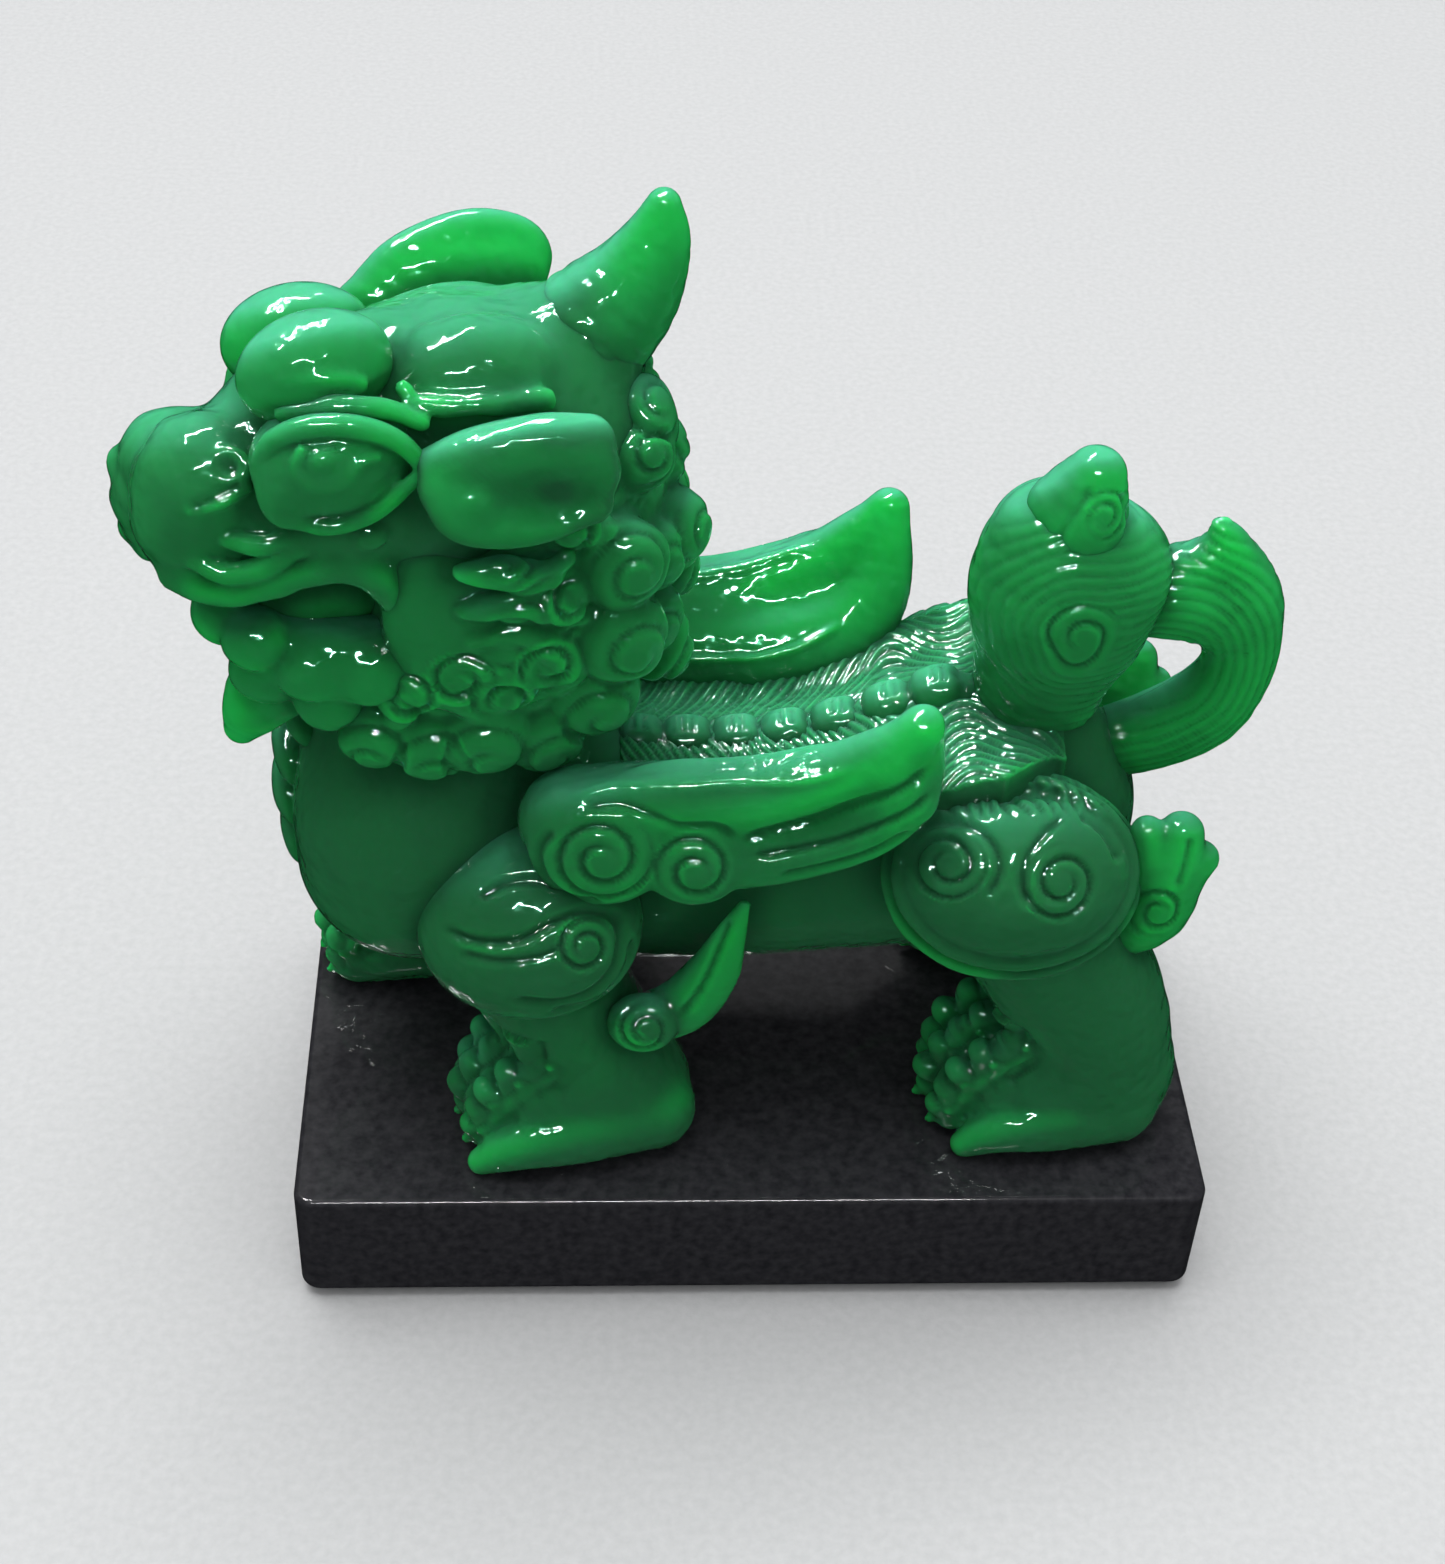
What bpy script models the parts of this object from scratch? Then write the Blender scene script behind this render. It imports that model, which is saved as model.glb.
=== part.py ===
"""Foo dog statue: a cast resin guardian lion, head turned a little to its left,
on a rectangular plinth with a felt pad. Metres, +Z up, the head towards -X and
the animal's left side towards -Y. The origin is the centre of the underside."""

import math

import bmesh
import bpy
from mathutils import Matrix, Vector
from mathutils.geometry import interpolate_bezier

# Plinth and pad
PLINTH_LENGTH = 0.100
PLINTH_WIDTH = 0.058
PLINTH_TOP = 0.016
PLINTH_UNDERSIDE = 0.0012
PLINTH_CORNER = 0.0022
PLINTH_EDGE = 0.0006
FELT_THICKNESS = 0.0009
FELT_INSET = 0.0015

# Figure: the numbers in the tables below are millimetres above the plinth top
MM = 0.001
HEAD_TURN = math.radians(14)
HEAD_AT = (-30.0, -1.5, 74.0)
FOOT_GAP = 0.0003
JOINT_GAP = 0.0003
VOXEL = 0.0011
SMOOTHING = 3
BALL_STEP = 0.45
WELD = 0.00005
FLOOR_CUT = 0.2

JADE_ROUGHNESS = 0.12
JADE_TRANSLUCENCY = 0.6
GLOW_DEPTH = 0.004

JADE_DEEP = (0.010, 0.120, 0.050, 1)
JADE_MID = (0.012, 0.230, 0.075, 1)
JADE_BRIGHT = (0.015, 0.360, 0.120, 1)
LACQUER = (0.012, 0.012, 0.013, 1)
FELT = (0.020, 0.020, 0.022, 1)


def turned(forward, left, up, radius):
    """A point of the head, given along its own axes, as a ball of the figure."""
    c = math.cos(HEAD_TURN)
    s = math.sin(HEAD_TURN)
    x = HEAD_AT[0] - c * forward + s * left
    y = HEAD_AT[1] - s * forward - c * left
    return (x, y, HEAD_AT[2] + up, radius)


def on_head(*knots):
    return [turned(*knot) for knot in knots]


def mirrored(strokes, shift=0.0):
    """The same strokes on the animal's other side."""
    return [[(x + shift, -y, z, r) for x, y, z, r in stroke] for stroke in strokes]


# Each stroke is a row of balls (x, y, z, radius) run together along a curve.
TORSO = [
    [(-36.5, -7, 33, 12.5), (-37, -7.5, 37, 12)],
    [(-36.5, 7, 33, 12.5), (-37, 7.5, 37, 12)],
    [(-34, 0, 42, 14), (-33, 0, 50, 13)],
    [(-32, 0, 32.5, 14.5), (-12, 0, 28.5, 14), (6, 0, 29.5, 14.2), (20, 0, 32.5, 15), (27, 0, 33.5, 14)],
    [(18, 0, 38, 12), (26, 0, 41, 8), (29, 0, 44, 6.5)],
]
CHEST_PLATES = [
    [(-47.4, -2.5, 45, 3), (-48.5, 0, 44.6, 3.4), (-47.4, 3.5, 45, 3)],
    [(-48.6, -2.8, 39, 3.2), (-49.8, 0, 38.6, 3.4), (-48.6, 4, 39, 3.2)],
    [(-48.8, -3, 33, 3.4), (-50.2, 0, 32.6, 3.4), (-48.8, 4, 33, 3.4)],
    [(-47.6, -3, 27, 3.4), (-49, 0, 26.6, 3.4), (-47.6, 4, 27, 3.4)],
    [(-44.6, -3, 21, 3.4), (-46.4, 0, 20.6, 3.4), (-44.6, 4, 21, 3.4)],
    [(-47, 0, 45, 3.4), (-48.4, 0, 38, 3.6), (-48.4, 0, 31, 3.6), (-47, 0, 25, 3.6), (-44, 0, 20, 3.4)],
]
SPINE_BEADS = [(-7.8, 41.2), (-2.6, 41.3), (2.6, 42.1), (7.9, 43.6), (13.2, 45.9), (18.2, 48.1)]
SPINE = [[(x, 0, z, 2.8)] for x, z in SPINE_BEADS] + [
    [(-11, 0, 40.2, 3.2), (0, 0, 40.4, 3.2), (8, 0, 42.2, 3.2), (15, 0, 45.2, 3.2), (20, 0, 47, 3.2)],
]
FRONT_LEFT_LEG = [
    [(-24, -14.5, 33, 10.5), (-24, -15, 28, 11.5), (-21, -15, 18, 9)],
    [(-21, -15, 18, 9), (-15, -15.3, 10, 7.6), (-14, -15.6, 4, 7.2)],
    [(-14, -16, 5, 7), (-22, -17, 6.5, 8), (-27.5, -17, 5, 7)],
    [(-26, -11.5, 4.5, 3.4), (-30.5, -11.5, 3.2, 3.2)],
    [(-27, -15.6, 4.5, 3.6), (-32, -16, 3.2, 3.1)],
    [(-26, -19.5, 4.5, 3.6), (-31, -20.5, 3.1, 3.0)],
    [(-22, -23, 4, 3.4), (-28.5, -24, 2.6, 2.8)],
]
FRONT_RIGHT_LEG = [
    [(-26, 14.5, 33, 10.5), (-27, 14.6, 28, 11), (-29, 14, 18, 9)],
    [(-29, 14, 18, 8.5), (-31, 12.4, 10, 7.6), (-31, 11.6, 4, 7.2)],
    [(-31, 11.5, 5, 7), (-38, 10.8, 6.5, 8), (-44, 10.5, 5, 7)],
    [(-44, 5.8, 4.5, 3.4), (-47.4, 5.6, 3.2, 3.2)],
    [(-44, 9.6, 4.5, 3.6), (-49, 9.8, 3.2, 3.1)],
    [(-43, 13.6, 4.5, 3.6), (-48.2, 14.4, 3.1, 3.0)],
    [(-40, 17.0, 4, 3.4), (-45.5, 18.0, 2.6, 2.8)],
]
HIND_LEFT_LEG = [
    [(25, -13.5, 38, 11), (25.5, -14, 33, 12)],
    [(32, -14, 26, 10.5), (36, -14, 17, 9.3), (39, -14.3, 8, 8)],
    [(39, -14.5, 4.5, 7.6), (32, -14.8, 5.5, 8), (26, -14.6, 4.5, 7)],
    [(26, -8.8, 4.5, 3.4), (22.6, -8.8, 3.2, 3.2)],
    [(26, -12.8, 4.5, 3.6), (21.6, -13, 3.2, 3.1)],
    [(27, -17.4, 4.5, 3.6), (22.4, -18, 3.1, 3.0)],
    [(30, -20.4, 4, 3.4), (25, -21.6, 2.6, 2.8)],
]
LEFT_WING = [
    [(-20, -14.5, 43, 5.5), (-8, -14, 43, 6), (4, -14, 44, 5.5), (11, -16, 47, 4.2), (14, -18, 51, 2.6)],
    [(-20, -17, 45, 4.8), (-12, -16.8, 47.5, 3.8), (-2, -17, 49, 3.4), (6, -17.6, 52, 3),
     (14.3, -18.8, 58.7, 1.6)],
    [(-19, -19, 40, 4.2), (-10, -18.6, 40, 3.4), (0, -18.2, 41, 3.2), (9, -18.6, 44.5, 3),
     (14, -19.4, 50, 2.6)],
    [(8, -16, 46, 4), (13, -18.5, 54, 2.8)],
]
TAIL_PLUME = [
    [(29, 0, 50, 7), (29.5, 0, 56, 8), (29.5, 0, 62, 9.2), (28.5, 0, 67, 7)],
    [(31, 0, 60, 8.5), (33.5, 0, 64, 7.5)],
]
TAIL_FLAME = [
    [(31, -1, 69, 5), (31.3, -1, 74, 4), (31.6, -1, 76.8, 2.3)],
    [(27, -1, 71.5, 2.8), (26.6, -1, 73.5, 1.6)],
    [(35, -1, 70, 3.4), (35, -1, 73.6, 1.8)],
]
TAIL_CURL = [
    [(37, 0, 41, 4), (42, 0, 42.8, 4.4), (47, 0, 46, 4.6), (49.6, 0, 51, 4), (49.6, 0, 56, 4.2),
     (48.6, 0, 61, 4.2), (46.6, 0, 66, 2.8), (45.3, 0, 69.3, 1.3)],
    [(38, 0, 60.5, 4), (44, 0, 60, 4.6), (47, 0, 59, 4.6)],
    [(41, 0, 63, 3.5), (44, 0, 65, 2.6)],
]
FRONT_TUFT = [
    [(-15, -17, 14, 3), (-11.5, -18, 18.3, 3.2), (-7, -18, 22, 3.4), (-4.4, -18, 28, 2.4),
     (-2.5, -18, 33, 0.9)],
]
HIND_TUFT = [
    [(38, -14, 27, 3.6), (42, -14, 30.5, 4), (43, -14, 36, 3.8), (43.7, -14, 41.5, 1.5)],
    [(42, -14, 32, 3.4), (45.2, -14, 35.4, 1.5)],
]
HEAD = [
    on_head((-4, 0, 6, 14), (6, 0, 6, 13.5), (12, 0, 7, 12.5)),
    on_head((2, 0, 12, 10), (8, 0, 12, 9)),
    on_head((4, 4, 14.5, 7), (0, 4, 15, 7), (-5, 3, 14.5, 6)),
    on_head((4, -4, 14.5, 7), (0, -4, 15, 7), (-5, -3, 14.5, 6)),
    on_head((12, 0, 8, 9), (21, 0, 5, 7.4)),
    on_head((25.4, 4, 7.6, 6.6), (26.6, 4, 4, 6.2), (26.6, 4, 0.5, 5.4)),
    on_head((27.4, -3.4, 4.6, 5.8), (28.6, -3.4, 1.5, 5.2), (28.6, -3.2, -2, 4.6)),
    on_head((15, 8, 3, 6), (23, 6.5, 0.5, 4.6)),
    on_head((15, -8, 3, 6), (22, -6, 0, 5)),
]
LOWER_JAW = [
    on_head((6, 8.5, -12, 4.8), (13, 8.5, -11, 5), (18.8, 6.5, -10, 5.2), (20.8, 0, -11, 5),
            (18, -5.5, -12, 5),
            (12, -8, -12, 5), (6, -8.5, -12, 4.8)),
    on_head((10, 0, -12, 8), (17, 0, -13, 6)),
    on_head((19, 1.5, -14, 4.6), (22.8, 2, -18, 3.4), (24.4, 2.4, -22.8, 1.5)),
]
HORN = [on_head((-9, 0, 13, 6.6), (-12, 0, 16.5, 6.2), (-15.8, 0, 20, 5), (-18.3, 0, 25, 3.2),
                (-18.9, 0, 29.2, 1.2))]
LEFT_EAR = [on_head((5, 16, 12.4, 4.6), (1, 17, 12.8, 5.2), (-4, 17.4, 12.8, 5.2),
                    (-6.5, 17.4, 12.8, 4.6))]
RIGHT_EAR = [on_head((3, -15.6, 12, 4.4), (0, -16.6, 14, 4.8), (-4.5, -17, 15.2, 4.6),
                     (-7.8, -17, 16, 3.6))]
LEFT_EYE = [on_head((20, 10, 12.5, 2.6), (16, 11.5, 13, 4.3), (12, 12, 13.4, 4), (8.5, 13, 13.6, 2.2))]
RIGHT_EYE = [on_head((20, -10, 12.5, 2.6), (16, -11.5, 13, 4.3), (12, -12, 13.4, 4),
                     (8.5, -13, 13.6, 2.2))]
LEFT_BROW = [on_head((18.6, 4.8, 18, 4), (15.2, 5, 19.4, 4.8), (12, 5.4, 19.2, 4.4), (9.6, 7, 17.8, 3))]
RIGHT_BROW = [on_head((17.6, -3.6, 14.6, 3.8), (14.8, -3.8, 15.6, 4.6), (12, -4.2, 15.2, 4),
                      (9.6, -6, 14, 2.6))]
MANE_BODY = [
    on_head((-5.5, 0, 2, 14), (-3.5, 0, -6, 16), (-2, 0, -12, 15.5)),
    on_head((-2, 8, -8, 10), (6, 8, -12, 8)),
    on_head((-2, -8, -8, 10), (6, -8, -12, 8)),
    on_head((4, 0, -18, 12), (8, 0, -16, 10)),
]
SIDE_CURLS = [
    (-10, 15, 2, 3.6), (-9, 15, -6, 3.8), (-7, 14, -13, 4), (-4, 12.5, -19, 3.8), (2, 12, -21.5, 3.8),
    (9, 11, -21, 3.6), (14, 10, -16, 3.4), (12, 13, -8, 3.6), (6, 15.5, -4, 4), (-2, 16, -2, 4),
    (2, 15, -11, 4.4), (8, 13.5, -14, 3.6),
]
BACK_CURL_ROWS = [(-13.5, 8), (-16.8, 2), (-18.2, -5), (-18.9, -12), (-18.4, -18)]


def mane_strokes():
    """The collar with its rolled curls, the same on both sides, and rows of small curls down the back."""
    strokes = list(MANE_BODY)
    for forward, left, up, radius in SIDE_CURLS:
        strokes.append(on_head((forward, left, up, radius)))
        strokes.append(on_head((forward, -left, up, radius)))
    for forward, up in BACK_CURL_ROWS:
        strokes += [on_head((forward + abs(left) * 0.18, left, up - abs(left) * 0.1, 3)) for left in (-7,
                                                                                                      0, 7)]
    return strokes


# name, strokes, colour, share of the triangles kept, the sections that trim it
SECTIONS = [
    ("torso", TORSO, JADE_DEEP, 0.040, []),
    ("head", HEAD, JADE_MID, 0.070, ["torso"]),
    ("mane", mane_strokes(), JADE_DEEP, 0.075, ["head", "torso"]),
    ("front_left_leg", FRONT_LEFT_LEG, JADE_DEEP, 0.068, ["torso"]),
    ("front_right_leg", FRONT_RIGHT_LEG, JADE_DEEP, 0.068, ["torso"]),
    ("hind_left_leg", HIND_LEFT_LEG, JADE_DEEP, 0.060, ["torso"]),
    ("hind_right_leg", mirrored(HIND_LEFT_LEG), JADE_DEEP, 0.060, ["torso"]),
    ("left_wing", LEFT_WING, JADE_BRIGHT, 0.090, ["torso", "mane", "front_left_leg", "hind_left_leg"]),
    ("right_wing", mirrored(LEFT_WING), JADE_BRIGHT, 0.090,
     ["torso", "mane", "front_right_leg", "hind_right_leg"]),
    ("tail_plume", TAIL_PLUME, JADE_BRIGHT, 0.100, ["torso", "hind_left_leg", "hind_right_leg"]),
    ("tail_curl", TAIL_CURL, JADE_BRIGHT, 0.120,
     ["torso", "tail_plume", "hind_left_leg", "hind_right_leg"]),
    ("tail_flame", TAIL_FLAME, JADE_BRIGHT, 0.200, ["tail_plume", "tail_curl"]),
    ("spine_ridge", SPINE, JADE_MID, 0.200, ["torso", "mane", "tail_plume", "left_wing", "right_wing"]),
    ("chest_plates", CHEST_PLATES, JADE_MID, 0.130,
     ["torso", "mane", "front_left_leg", "front_right_leg"]),
    ("lower_jaw", LOWER_JAW, JADE_MID, 0.100, ["head", "mane", "torso", "chest_plates"]),
    ("horn", HORN, JADE_BRIGHT, 0.140, ["head", "mane"]),
    ("left_ear", LEFT_EAR, JADE_BRIGHT, 0.150, ["head", "mane"]),
    ("right_ear", RIGHT_EAR, JADE_BRIGHT, 0.150, ["head", "mane"]),
    ("left_eye", LEFT_EYE, JADE_MID, 0.200, ["head", "left_ear"]),
    ("right_eye", RIGHT_EYE, JADE_MID, 0.200, ["head", "right_ear"]),
    ("left_brow", LEFT_BROW, JADE_BRIGHT, 0.180, ["head", "left_eye"]),
    ("right_brow", RIGHT_BROW, JADE_BRIGHT, 0.180, ["head", "right_eye", "left_brow"]),
    ("front_left_tuft", FRONT_TUFT, JADE_MID, 0.250, ["front_left_leg", "torso", "left_wing"]),
    ("front_right_tuft", mirrored(FRONT_TUFT, -7.0), JADE_MID, 0.250,
     ["front_right_leg", "torso", "right_wing"]),
    ("hind_left_tuft", HIND_TUFT, JADE_MID, 0.220, ["hind_left_leg", "torso", "tail_curl"]),
    ("hind_right_tuft", mirrored(HIND_TUFT), JADE_MID, 0.220, ["hind_right_leg", "torso", "tail_curl"]),
]


def clear_scene():
    for obj in list(bpy.data.objects):
        bpy.data.objects.remove(obj)


def new_collection(name, hidden):
    collection = bpy.data.collections.new(name)
    bpy.context.scene.collection.children.link(collection)
    collection.hide_render = hidden
    return collection


def material(name, colour, roughness, translucency):
    mat = bpy.data.materials.new(name)
    mat.use_nodes = True
    shader = mat.node_tree.nodes["Principled BSDF"]
    shader.inputs["Base Color"].default_value = colour
    shader.inputs["Roughness"].default_value = roughness
    shader.inputs["Subsurface Weight"].default_value = translucency
    shader.inputs["Subsurface Scale"].default_value = GLOW_DEPTH
    mat.diffuse_color = colour
    return mat


def add_object(name, mesh, collection):
    obj = bpy.data.objects.new(name, mesh)
    collection.objects.link(obj)
    return obj


def curve_points(knots):
    """Balls along a smooth curve through the knots, spaced by a share of their radius."""
    if len(knots) == 1:
        return knots
    rows = [Vector(knot) for knot in knots]
    ends = [rows[0] * 2 - rows[1]] + rows + [rows[-1] * 2 - rows[-2]]
    points = []
    for before, start, end, after in zip(ends, ends[1:], ends[2:], ends[3:]):
        reach = (end.xyz - start.xyz).length
        count = max(3, int(reach / (BALL_STEP * min(start.w, end.w))) + 2)
        leave = (end - before) / 6
        arrive = (after - start) / 6
        xyz = interpolate_bezier(start.xyz, start.xyz + leave.xyz, end.xyz - arrive.xyz, end.xyz, count)
        for i, at in enumerate(xyz):
            points.append((*at, start.w + (end.w - start.w) * i / (count - 1)))
    return points


def clay_mesh(name, strokes):
    """One mesh holding every ball of every stroke, still overlapping."""
    bm = bmesh.new()
    for stroke in strokes:
        for x, y, z, radius in curve_points(stroke):
            place = Matrix.Translation((x * MM, y * MM, z * MM + PLINTH_TOP))
            bmesh.ops.create_icosphere(bm, subdivisions=2, radius=radius * MM, matrix=place)
    mesh = bpy.data.meshes.new(name)
    bm.to_mesh(mesh)
    bm.free()
    return mesh


def add_remesh(obj, share):
    """Fuses the balls into one smooth closed skin, with few triangles."""
    fuse = obj.modifiers.new("fuse", "REMESH")
    fuse.mode = "VOXEL"
    fuse.voxel_size = VOXEL
    fuse.use_smooth_shade = True
    soften = obj.modifiers.new("soften", "SMOOTH")
    soften.factor = 0.5
    soften.iterations = SMOOTHING
    thin = obj.modifiers.new("thin", "DECIMATE")
    thin.ratio = share


def add_cut(obj, cutter):
    cut = obj.modifiers.new("cut_" + cutter.name, "BOOLEAN")
    cut.operation = "DIFFERENCE"
    cut.solver = "EXACT"
    cut.object = cutter


def box_mesh(name, low, high):
    bm = bmesh.new()
    bmesh.ops.create_cube(bm, size=1)
    for vert in bm.verts:
        vert.co = Vector([low[i] if vert.co[i] < 0 else high[i] for i in range(3)])
    mesh = bpy.data.meshes.new(name)
    bm.to_mesh(mesh)
    bm.free()
    return mesh


def connected(start):
    """Every vertex that edges join to this one."""
    group = {start}
    front = [start]
    while front:
        vert = front.pop()
        around = {edge.other_vert(vert) for edge in vert.link_edges} - group
        group |= around
        front.extend(around)
    return group


def largest_body(name, obj, graph):
    """The evaluated mesh of a section with stray slivers from the trimming left out."""
    mesh = bpy.data.meshes.new_from_object(obj.evaluated_get(graph))
    bm = bmesh.new()
    bm.from_mesh(mesh)
    bmesh.ops.triangulate(bm, faces=bm.faces)
    bmesh.ops.remove_doubles(bm, verts=bm.verts, dist=WELD)
    bmesh.ops.dissolve_degenerate(bm, edges=bm.edges, dist=WELD)
    bmesh.ops.triangulate(bm, faces=bm.faces)
    left = set(bm.verts)
    keep = set()
    while left:
        group = connected(next(iter(left)))
        left -= group
        keep = max(keep, group, key=len)
    bmesh.ops.delete(bm, geom=[vert for vert in bm.verts if vert not in keep], context="VERTS")
    for face in bm.faces:
        face.smooth = True
    mesh.name = name
    bm.to_mesh(mesh)
    bm.free()
    return mesh


def as_helper(obj):
    obj.hide_render = True
    obj.display_type = "WIRE"
    return obj


def make_cutter(name, mesh, share, collection):
    """A section's whole shape, grown by the joint gap, that trims its neighbours."""
    cutter = add_object("cutter_" + name, mesh, collection)
    add_remesh(cutter, share)
    grow = cutter.modifiers.new("grow", "DISPLACE")
    grow.mid_level = 0.0
    grow.strength = JOINT_GAP
    return as_helper(cutter)


def make_floor_cutter(helpers):
    """A slab that reaches a little above the plinth, so that the paws stop short of it."""
    low = (-FLOOR_CUT, -FLOOR_CUT, -FLOOR_CUT)
    high = (FLOOR_CUT, FLOOR_CUT, PLINTH_TOP + FOOT_GAP)
    return as_helper(add_object("cutter_floor", box_mesh("floor", low, high), helpers))


def make_sections(parts, helpers):
    floor = make_floor_cutter(helpers)
    cutters = {}
    drafts = {}
    for name, strokes, _, share, trimmed_by in SECTIONS:
        clay = clay_mesh(name, strokes)
        cutters[name] = make_cutter(name, clay, share, helpers)
        draft = as_helper(add_object("draft_" + name, clay, helpers))
        add_remesh(draft, share)
        for other in trimmed_by:
            add_cut(draft, cutters[other])
        if name.endswith("leg"):
            add_cut(draft, floor)
        drafts[name] = draft
    bpy.context.view_layer.update()
    graph = bpy.context.evaluated_depsgraph_get()
    for name, _, colour, _, _ in SECTIONS:
        section = add_object(name, largest_body(name, drafts[name], graph), parts)
        section.data.materials.clear()
        section.data.materials.append(material(name, colour, JADE_ROUGHNESS, JADE_TRANSLUCENCY))
    for draft in drafts.values():
        bpy.data.objects.remove(draft)


def make_plinth(parts):
    low = (-PLINTH_LENGTH / 2, -PLINTH_WIDTH / 2, PLINTH_UNDERSIDE)
    high = (PLINTH_LENGTH / 2, PLINTH_WIDTH / 2, PLINTH_TOP)
    plinth = add_object("plinth", box_mesh("plinth", low, high), parts)
    upright = plinth.data.attributes.new("bevel_weight_edge", "FLOAT", "EDGE")
    for edge in plinth.data.edges:
        ends = [plinth.data.vertices[i].co.z for i in edge.vertices]
        upright.data[edge.index].value = 1.0 if abs(ends[0] - ends[1]) > 0.001 else 0.0
    corners = plinth.modifiers.new("corners", "BEVEL")
    corners.width = PLINTH_CORNER
    corners.segments = 4
    corners.limit_method = "WEIGHT"
    arris = plinth.modifiers.new("arris", "BEVEL")
    arris.width = PLINTH_EDGE
    arris.segments = 2
    arris.limit_method = "ANGLE"
    arris.angle_limit = math.radians(50)
    plinth.data.materials.append(material("plinth", LACQUER, 0.35, 0.0))


def make_felt(parts):
    half_x = PLINTH_LENGTH / 2 - FELT_INSET
    half_y = PLINTH_WIDTH / 2 - FELT_INSET
    felt = add_object("felt_pad",
                      box_mesh("felt_pad", (-half_x, -half_y, 0),
                               (half_x, half_y, FELT_THICKNESS)), parts)
    felt.data.materials.append(material("felt_pad", FELT, 0.95, 0.0))


def main():
    clear_scene()
    parts = new_collection("foo_dog_statue", False)
    helpers = new_collection("cutters", True)
    make_plinth(parts)
    make_felt(parts)
    make_sections(parts, helpers)


main()
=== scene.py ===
import math
from collections import namedtuple

import bmesh
import bpy
import numpy as np
from mathutils import Matrix, Vector


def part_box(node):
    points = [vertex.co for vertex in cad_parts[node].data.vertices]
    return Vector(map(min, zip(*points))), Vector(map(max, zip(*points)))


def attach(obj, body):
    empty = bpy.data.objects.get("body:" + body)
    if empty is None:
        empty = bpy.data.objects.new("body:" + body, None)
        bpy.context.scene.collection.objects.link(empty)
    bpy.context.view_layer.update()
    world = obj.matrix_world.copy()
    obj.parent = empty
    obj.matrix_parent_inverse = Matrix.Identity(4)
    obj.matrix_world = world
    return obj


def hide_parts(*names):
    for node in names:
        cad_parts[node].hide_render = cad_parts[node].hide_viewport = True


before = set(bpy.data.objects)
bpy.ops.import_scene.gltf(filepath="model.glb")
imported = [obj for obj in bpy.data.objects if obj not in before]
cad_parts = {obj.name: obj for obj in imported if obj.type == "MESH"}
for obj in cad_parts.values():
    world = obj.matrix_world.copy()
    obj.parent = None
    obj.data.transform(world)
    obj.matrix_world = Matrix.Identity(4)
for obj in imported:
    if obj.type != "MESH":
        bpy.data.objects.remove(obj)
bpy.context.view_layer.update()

# ---------------------------------------------------------------- places and sizes
# The figure's numbers are in hundredths of the plinth's length, from the middle of its top:
# x towards the tail, y towards the animal's right, z up. A ball is (x, y, z, radius).
# On the head, balls are (forward, left, up, radius) from HEAD_AT, along the turned head's own axes.
PLINTH_LOW, PLINTH_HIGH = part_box("plinth")
UNIT = (PLINTH_HIGH.x - PLINTH_LOW.x) / 100
ORIGIN = np.array([(PLINTH_LOW.x + PLINTH_HIGH.x) / 2, (PLINTH_LOW.y + PLINTH_HIGH.y) / 2, PLINTH_HIGH.z])
HEAD_TURN = math.radians(14)
HEAD_AT = np.array([-30.0, -1.5, 74.0])
FORWARD = np.array([-math.cos(HEAD_TURN), -math.sin(HEAD_TURN), 0.0])
LEFT = np.array([math.sin(HEAD_TURN), -math.cos(HEAD_TURN), 0.0])
UP = np.array([0.0, 0.0, 1.0])
FLIP = np.array([1, -1, 1])
# towards the light: for the painted light on faces turned to it, and the painted shadow of what is in its way
LIT_SIDE = np.array([-0.15, 0.5, 0.85])
COARSEN = 1.0
FAR = 6.0
MARGIN = 2.5


def head_point(f, l, u):
    return HEAD_AT + f * FORWARD + l * LEFT + u * UP


def on_head(balls, side=1.0, low=0.0):
    """Balls of the head as balls of the figure. side is -1 for the far side, low moves them down."""
    return [(*head_point(f, side * l, u - low), r) for f, l, u, r in balls]


# ---------------------------------------------------------------- clay
def curve(knots, step=0.5):
    """Rows (x, y, z, radius) along a smooth curve through the knots."""
    knots = np.array(knots, float)
    ends = np.vstack([2 * knots[0] - knots[1], knots, 2 * knots[-1] - knots[-2]])
    rows = []
    for a, b, c, d in zip(ends, ends[1:], ends[2:], ends[3:]):
        reach = np.linalg.norm(c[:3] - b[:3])
        count = max(2, int(reach / (step * max(0.8, min(b[3], c[3])))) + 1)
        t = np.linspace(0, 1, count, endpoint=False)[:, None]
        line = 2 * b + (c - a) * t
        rows.append(0.5 * (line + (2 * a - 5 * b + 4 * c - d) * t ** 2 + (3 * b - a - 3 * c + d) * t ** 3))
    rows.append(knots[-1:])
    points = np.vstack(rows)
    points[:, 3] = np.maximum(points[:, 3], 0.05)
    return points


def grid(axes, centre=(0, 0, 0)):
    """The three axes as arrays that broadcast to the whole grid, measured from the centre."""
    moved = [axis - np.float32(at) for axis, at in zip(axes, centre)]
    return np.meshgrid(*moved, indexing="ij", sparse=True)


def spans_of(axes, low, high, pad):
    """The stretch of each axis that lies between low and high, with some room."""
    return tuple(slice(*np.searchsorted(axis, [a - pad, b + pad])) for axis, a, b in zip(axes, low, high))


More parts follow.
